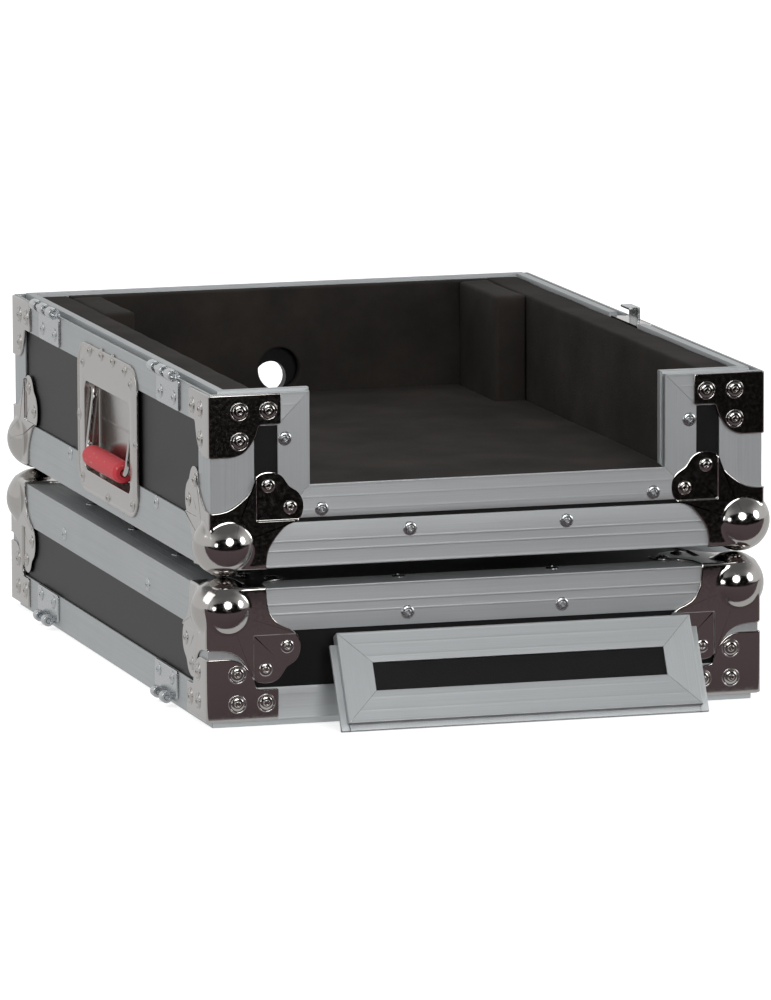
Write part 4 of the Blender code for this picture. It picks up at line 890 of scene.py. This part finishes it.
def build_handle():
    """The recessed handle: its dish, and the bail with its grip and spring on the pivot line."""
    top = TRAY_HEIGHT
    left = left_wall(0, top)
    outline = rounded_rectangle((-80, -111.5), (80, -7.5), 19.0, 10, 6)
    window = rounded_rectangle((-61, -96), (61, -34), 6.0, 10, 6)
    depth = 9.5
    patches = [dish(left, outline, window, depth, ((1.9, 0.0), (2.5, -0.4), (3.2, -0.5), (4.0, -0.5)))]
    spots = [(-47, -11.8), (-15.5, -10.8), (15.5, -10.8), (47, -13.2), (-65, -22.0), (63, -20.5)]
    spots += [(-75.6, -60), (75.6, -60), (0, -107.2), (-66.5, -101.5), (66.5, -102.5)]
    patches += rivets(left, spots, SKIN - 0.5)
    # A crease pressed across the pan's floor stiffens it
    crease = on(left, spaced([(-54, -60.0), (54, -60.0)], 6.0), -depth - 0.2)
    patches.append(wire(crease, 0.7, 10))
    shape("handle_dish_pressing", patches, "tray", RUBBED_CHROME, "handle_dish")

    pivot_x, pivot_z = -HALF_W + 4.5, top - 39.0
    grip_x, grip_z = -HALF_W - 1.0, top - 84.0
    lean = (pivot_x - grip_x) / (pivot_z - grip_z)
    half_bail, knee_radius, bend_radius = 53, 4, 8.0
    upper = [(pivot_x, 62.0, pivot_z), (pivot_x, 58.0, pivot_z)]
    for t in np.linspace(0, QUARTER, 5):
        out, down = knee_radius * (1 - math.sin(t)), knee_radius * (1 - math.cos(t))
        upper.append((pivot_x - lean * down, half_bail + out, pivot_z - down))
    arc = np.linspace(0, -QUARTER, 9)
    bend_y = half_bail - bend_radius + bend_radius * np.cos(arc)
    bend_z = grip_z + bend_radius + bend_radius * np.sin(arc)
    side = np.concatenate([upper, np.stack([grip_x + lean * (bend_z - grip_z), bend_y, bend_z], 1)])
    bail = spaced(np.concatenate([side, side[::-1] * [1, -1, 1]]), 2.2)
    shape("handle_bail_rod", [wire(bail, 2.5, 20)], "handle", CHROME, "handle_bail", sharp=60)

    half_grip, bore = 44.0, 2.9
    reach = np.linspace(-half_grip, half_grip, 45)
    end = np.clip((np.abs(reach) - 40.5) / 3.5, 0, 1)
    radius = 7.8 - 0.35 * (reach / half_grip) ** 2 - 2.4 * (1 - np.sqrt(1 - end**2 * 0.98))
    ends = [(bore, -half_grip), (bore, half_grip)]
    profile = np.concatenate([ends[:1], np.column_stack([radius, reach]), ends[::-1]])
    grip = turned(profile, (grip_x, 0, grip_z), Y, 40)
    shape("handle_grip_sleeve", [grip], "handle", RUBBER, "handle_grip")

    turn = np.linspace(0, 2 * math.pi * 2, 65)
    coil_y = -57.5 - 1.25 * turn / (2 * math.pi)
    coil = np.stack([pivot_x + 3.4 * np.cos(turn), coil_y, pivot_z + 3.4 * np.sin(turn)], 1)
    shape("handle_spring_coil", [wire(coil, 0.4, 10)], "tray", ZINC, "handle_spring", sharp=70)


# ---- hinges and latch


def knuckle(centre, length, bore):
    """A rolled hinge knuckle along Y: a tube with eased ends."""
    half = length / 2
    rows = [(bore, -half + 0.6), (bore + 0.5, -half), (3.4, -half), (3.9, -half + 0.5), (4.0, -half + 1.0)]
    rows += [(radius, -height) for radius, height in reversed(rows)] + rows[:1]
    return turned(rows, centre, Y, 28)


def build_hinges():
    """Two lift-off hinges: a leaf with three knuckles on the tray, one with two and pins on the lid."""
    for name, centre in (("front", -160.0), ("rear", 160.0)):
        for part, z, offsets, length, (low, high), rivet_at, bore in (
            ("tray", TRAY_HEIGHT, (-22, 0, 22), 12.0, (-21.5, 0.0), -13.5, 1.7),
            ("lid", PARTING, (-11, 11), 8.0, (3.5, 22.5), 16.5, 1.5),
        ):
            half = length / 2
            wall = left_wall(centre, z)
            patches = [plate(wall, rounded_rectangle((-28, low), (28, high), 2.4), SKIN, roll=0.7)]
            patches += rivets(wall, [(17, rivet_at), (-17, rivet_at)], SKIN)
            for offset in offsets:
                axis = (-HALF_W - 4.6, centre + offset, z + HINGE_RISE)
                patches.append(knuckle(axis, length, bore))
                foot, head = (-1.0, HINGE_RISE) if part == "tray" else (HINGE_RISE, 4.5)
                strap = rounded_rectangle((-offset - half, foot), (-offset + half, head), 0.4)
                patches.append(plate(wall, strap, SKIN, roll=0.3))
                if part == "lid":
                    tip = half + 1.5
                    pin = [(0, 0.2 - half), (bore, 0.2 - half), (bore, half + 1.0), (0.9, tip), (0, tip)]
                    patches.append(turned(pin, axis, Y, 14))
            node = f"{part}_hinge_leaf_{name}"
            shape(node + "_pressing", patches, part, ZINC, node)


def build_latch():
    """The recessed butterfly latch: the tray's dish with drum, hook and folding wing, and the lid's dish
    that the hook catches in."""
    top = TRAY_HEIGHT
    border = ((1.9, 0.0), (2.5, -0.3), (3.2, -0.4), (4.0, -0.4))
    for name, place, (low, high), (window_low, window_high), depth, spots, body in (
        ("latch", right_wall(top), (-74, -0.5), (-60.8, -1.7), 11.0, (42.5, (-12, -37, -62)), "tray"),
        ("lid_strike", right_wall(PARTING), (0.5, 42), (1.7, 30.8), 7.3, (42, (10, 34)), "lid"),
    ):
        outline = rounded_rectangle((-52.5, low), (52.5, high), 6.0, 8, 5)
        window = rounded_rectangle((-30.8, window_low), (30.8, window_high), 3.0, 8, 5)
        patches = [dish(place, outline, window, depth, border)]
        patches += rivets(place, [(side * spots[0], h) for side in (-1, 1) for h in spots[1]], SKIN - 0.4)
        if body == "lid":
            patches += block((HALF_W - 8.2, -14, PARTING + 12), (HALF_W - 0.5, 14, PARTING + 14.5), 0.5, 10.0)
            shape("lid_strike_pressing", patches, body, CHROME, "lid_strike_dish")
        else:
            shape("latch_dish_pressing", patches, body, CHROME, "latch_dish")

    axis_z = top - 32.0
    inner = HALF_W - 12.2 + 1.5
    depth, nose = HALF_W - 5.6 - inner, HALF_W - 1.7 - inner
    drum = [(0, 0.1), (13.4, 0.1), (14, 0.5), (14, depth - 0.5), (13.5, depth), (6.0, depth)]
    drum += [(5.4, depth - 0.3), (4.5, depth - 0.3), (4.5, nose - 0.4), (4.1, nose), (0, nose)]
    patches = [turned(drum, (inner, 0, axis_z), X, 48)]
    patches += block((HALF_W - 3.2, -7.0, axis_z - 3.5), (HALF_W - 0.2, 7.0, axis_z + 6.0), 0.6, 6.0)
    shape("latch_drum", patches, "latch_cam", ZINC, "latch_cam")

    slot_half, foot, head = 5.1, axis_z - 11.1, top + 9.7
    shoulder = axis_z + 8 + slot_half + 3
    half = [(13, foot), (13, shoulder), (10, shoulder + 4), (10, head)]
    strap = [(-13, foot), *half, *((-x, z) for x, z in half[:0:-1])]
    strap = spaced_outline(eased(strap, [2.5, 2.5, 1.5, 1.5, 0.4, 0.4, 1.5, 1.5], 5), 3.0)
    centre = np.array([0.0, axis_z + 4.0])
    away = np.arctan2(*(strap - centre).T[::-1])
    slot = np.stack([slot_half * np.cos(away), slot_half * np.sin(away) + 4.0 * np.sign(np.sin(away))], 1)
    patches = [plate(right_wall(0.0, 5.3), strap, 1.8, 0.0, 0.4, 0.4, centre + slot)]
    patches += block((HALF_W - 11.5, -10, top + 7.9), (HALF_W - 5.2, 10, head), 0.5, 6.0)
    shape("latch_hook_strap", patches, "latch_hook", ZINC, "latch_hook")

    # The wing is a butterfly: two rounded wings with a dip between them, on a narrow waist
    rim = 26.5
    outline = [(-7.8, 1.1), (-17.8, 1.1)]
    outline += [(rim * math.cos(a), rim * math.sin(a)) for a in np.radians(np.linspace(197, 250, 9))]
    outline += [(-4.0, -22.0), (0, -20.5), (4.0, -22.0)]
    outline += [(rim * math.cos(a), rim * math.sin(a)) for a in np.radians(np.linspace(290, 343, 9))]
    outline = eased(outline + [(17.8, 1.1), (7.8, 1.1), (7.8, -6.8), (-7.8, -6.8)], 1.1)
    patches = [plate(right_wall(axis_z, 2.7), outline, 2.2, 0.0, 0.5, 0.5, centre=(0.0, -14.0), rings=3)]
    shape("latch_wing_plate", patches, "latch_wing", CHROME, "latch_wing")


# ---- flap


def build_flap():
    """The front flap in its own frame, width x, depth y, height z, then leant back by 28 degrees on its
    heel."""
    half, height, deep = 122.6, 63.1, 9.5
    hooks = [(deep, 0.0), (deep, 10.0), (deep - 1.5, 10.0), (deep - 1.5, 6.0), (1.5, 6.0), (1.5, 21.7)]
    rail = rim_profile(beaded(21.7, 0.0, RIM_BEADS, 0.06) + [(0.0, 0.0)] + hooks, 6, 0.4)
    depth, rise = rail.T
    patches = []
    ends = [(-1, True), (1, True), (1, False), (-1, False)]
    for (ax, alow), (bx, blow) in zip(ends, ends[1:] + ends[:1]):
        first = np.stack([ax * (half - rise), depth, rise if alow else height - rise], 1)
        last = np.stack([bx * (half - rise), depth, rise if blow else height - rise], 1)
        way = last.mean(0) - first.mean(0)
        way *= HAIR / np.linalg.norm(way)
        patches.append(length_of([first + way, last - way]))
    # Tongues on its sides and heel fit the cut-out's groove, and a lip stands up behind its head
    for side in (-1, 1):
        low, high = sorted((side * (half - 2), side * (half + 4.8)))
        patches += block((low, 3.7, -4.2), (high, 6.3, height - 7.2), 0.5, 12.0)
    patches += block((-half, 3.7, -4.2), (half, 6.3, 2.0), 0.5, 20.0)
    patches += block((-half + 3, 7.2, height - 3), (half - 3, deep, height + 1.4), 0.4, 20.0)
    lean = math.radians(28)
    turn = np.array([[1, 0, 0], [0, math.cos(lean), math.sin(lean)], [0, -math.sin(lean), math.cos(lean)]])
    foot = np.array([16.5, -304.068, 6.666]) + LID_AT * [1, 1, 0]
    here = [(points @ turn.T + foot, faces, seam) for points, faces, seam in patches]
    shape("flap_frame_lengths", here, "flap", ALUMINIUM, "flap_frame")


def build_loose_rivets():
    """Rivets through the edging and rims, each in the face it holds."""
    front, back = seat((0, -HALF_D, 0), X, Z), seat((0, HALF_D, 0), (-1, 0, 0), Z)
    bottom, sill = [(-54.3, 21.3), (54.3, 21.3)], SILL_Z - 16.7
    tray = rivets(front, bottom + [(-115, sill), (115, sill), (-140, 85.3), (140, 85.3)], -0.1)
    tray += rivets(back, bottom + [(-60, 103.5), (60, 103.5)], -0.1)
    tray += rivets(left_wall(), [(-106.4, 24.8), (124.8, 24.8)], -0.1)
    tray += rivets(right_wall(), [(-110, 24.8), (110, 24.8)], -0.1)
    shape("tray_edging_rivets", tray, "tray", ZINC)
    long_z, side_z = LID_HEIGHT - 20.8, LID_HEIGHT - 19.5
    lid = []
    for place in (front, back):
        lid += rivets(place, [(-53.6, long_z), (53.6, long_z), (-70, 17), (70, 17)], -0.1)
    for place in (left_wall(), right_wall()):
        lid += rivets(place, [(-116, side_z), (110, side_z)], -0.1)
    spots = [(-53.6, -241), (53.6, -241), (-53.6, 241), (53.6, 241)]
    spots += [(side * 169.5, y) for side in (-1, 1) for y in (-110, 5, 120)]
    lid += rivets(seat((0, 0, LID_HEIGHT), X, Y), spots, -0.1)
    shape("lid_edging_rivets", lid, "lid", ZINC)


build_extrusions()
build_left_edging()
build_corners()
build_brackets()
build_foam()
build_handle()
build_hinges()
build_latch()
build_flap()
build_loose_rivets()

PANELS = ["lid_top_panel", "tray_floor_panel", "flap_panel"]
PANELS += [f"{body}_{side}_wall" for body in ("lid", "tray") for side in ("front", "rear", "left", "right")]
for node in PANELS:
    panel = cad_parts[node]
    panel.data.materials.clear()
    panel.data.materials.append(LAMINATE)


# ---- studio


def flat_square(name, material, *corners):
    """A flat sheet of the studio, which isn't part of the object."""
    mesh = bpy.data.meshes.new(name)
    mesh.from_pydata(corners, [], [(0, 1, 2, 3)])
    mesh.materials.append(material)
    thing = shown(name, mesh)
    return thing


# How bright the floor is where metal mirrors it
FLOOR_IN_METAL = 0.66
WHITE = (1.0, 1.0, 1.0, 1.0)


def floor_material():
    """A plain pale floor: it takes the shadow, shows white to the camera and dimmer in reflections."""
    material, tree, shader, _ = blank("pale_floor")
    tree.nodes.remove(shader)
    plain = add(tree, "BsdfDiffuse", Color=(0.8, 0.8, 0.8, 1.0))
    seen = add(tree, "AddShader", _0=plain, _1=add(tree, "Emission", Color=WHITE, Strength=0.62))
    mirrored = add(tree, "Emission", Color=WHITE, Strength=FLOOR_IN_METAL)
    ray = add(tree, "LightPath").outputs
    direct = either(ray["Is Camera Ray"], ray["Is Transmission Ray"])
    mixed = add(tree, "MixShader", _0=direct, _1=plain, _2=seen)
    mixed = add(tree, "MixShader", _0=ray["Is Glossy Ray"], _1=mixed, _2=mirrored)
    feed(tree.nodes["Material Output"], Surface=mixed)
    return material


def painted_reflection_material(name, colour):
    """A dark sheet's material; the sheet is a painted reflection, seen only in metal."""
    material, _, shader, _ = blank(name)
    feed(shader, Base_Color=tone(colour), Roughness=1.0, Specular_IOR_Level=0.0)
    return material


def lamp(name, azimuth, elevation, distance, size, power, kind="DISK"):
    """An area lamp facing the case, placed by its direction from the case's middle."""
    data = bpy.data.lights.new(name, "AREA")
    data.shape, data.size, data.energy = kind, size, power
    a, e = math.radians(azimuth), math.radians(elevation)
    out = np.array([math.sin(a) * math.cos(e), -math.cos(a) * math.cos(e), math.sin(e)])
    side = np.cross(Z, out)
    side /= np.linalg.norm(side)
    place = np.array([0.0, 0.0, 0.11]) + distance * out
    matrix = np.column_stack([side, np.cross(out, side), out, place]).tolist()
    shown(name, data).matrix_world = Matrix([*matrix, [0.0, 0.0, 0.0, 1.0]])


flat_square("studio_floor", floor_material(), (-40, -40, 0), (40, -40, 0), (40, 40, 0), (-40, 40, 0))

# Painted reflections: dark sheets that only metal mirrors, unseen by the camera and casting no shadow; brown
# before the case, black beyond that and behind the camera
black = painted_reflection_material("black_painted_reflection", "#0e0c0b")
brown = painted_reflection_material("brown_painted_reflection", "#64575a")
for name, reflected, (near_y, near_z), (far_y, far_z) in (
    ("brown_reflection_sheet", brown, (-0.276, 0.001), (-0.75, 0.001)),
    ("black_reflection_sheet", black, (-0.75, 0.001), (-9, 0.5)),
    ("black_reflection_wall", black, (-8.0, 0.0), (-8.0, 4.5)),
):
    near = (-9, near_y, near_z), (9, near_y, near_z)
    dark = flat_square(name, reflected, *near, (9, far_y, far_z), (-9, far_y, far_z))
    dark.visible_camera = False
    dark.visible_diffuse = False
    dark.visible_shadow = False
    dark.visible_transmission = False

lamp("key_lamp", 2, 17, 2.4, 1.0, 16)
lamp("side_lamp", 53, 15, 2.4, 0.85, 11)
lamp("left_spot", -43, 6, 2.4, 0.45, 2.5)
lamp("left_softbox", -78, 38, 2.6, 1.4, 12, "SQUARE")
lamp("top_softbox", 180, 72, 2.6, 2.0, 16, "SQUARE")

# The background lights the case at 0.55, and shows at full strength to the camera and in metal
world = bpy.data.worlds.new("studio")
bpy.context.scene.world = world
world.use_nodes = True
sky = world.node_tree
ray = add(sky, "LightPath").outputs
seen = either(either(ray["Is Camera Ray"], ray["Is Glossy Ray"]), ray["Is Transmission Ray"])
strength = spread(seen, 0.0, 1.0, 0.55, 1.0)
# In metal the studio is pale behind and at both sides, dark behind the camera and dim overhead
way = add(sky, "SeparateXYZ", Vector=add(sky, "TexCoord").outputs["Generated"]).outputs
around = spread(way[1], -0.85, -0.35, 0.16, 0.78, interpolation_type="SMOOTHSTEP")
overhead = spread(way[2], 0.35, 0.8, 0.0, 1.0, interpolation_type="SMOOTHSTEP")
shade = add(sky, "Mix", {"data_type": "FLOAT"}, _0=overhead, _2=around, _3=0.16)
pale = add(sky, "Mix", {"data_type": "FLOAT"}, _0=ray["Is Glossy Ray"], _2=1.0, _3=shade)
feed(sky.nodes["Background"], Strength=strength, Color=pale)

# The photograph's view, worked out from the case's edges
camera_data = bpy.data.cameras.new("photo_camera")
camera_data.sensor_fit, camera_data.sensor_height, camera_data.lens = "VERTICAL", 36.0, 331.58
camera_data.clip_start, camera_data.clip_end = 0.1, 200.0
camera = shown("photo_camera", camera_data)
camera.location = (-1.760475, -6.016491, 1.0894)
camera.rotation_euler = [math.radians(a) for a in (81.09842649, 0.2256659, -16.37177565)]
bpy.context.scene.camera = camera
bpy.context.scene.view_settings.view_transform = "Standard"
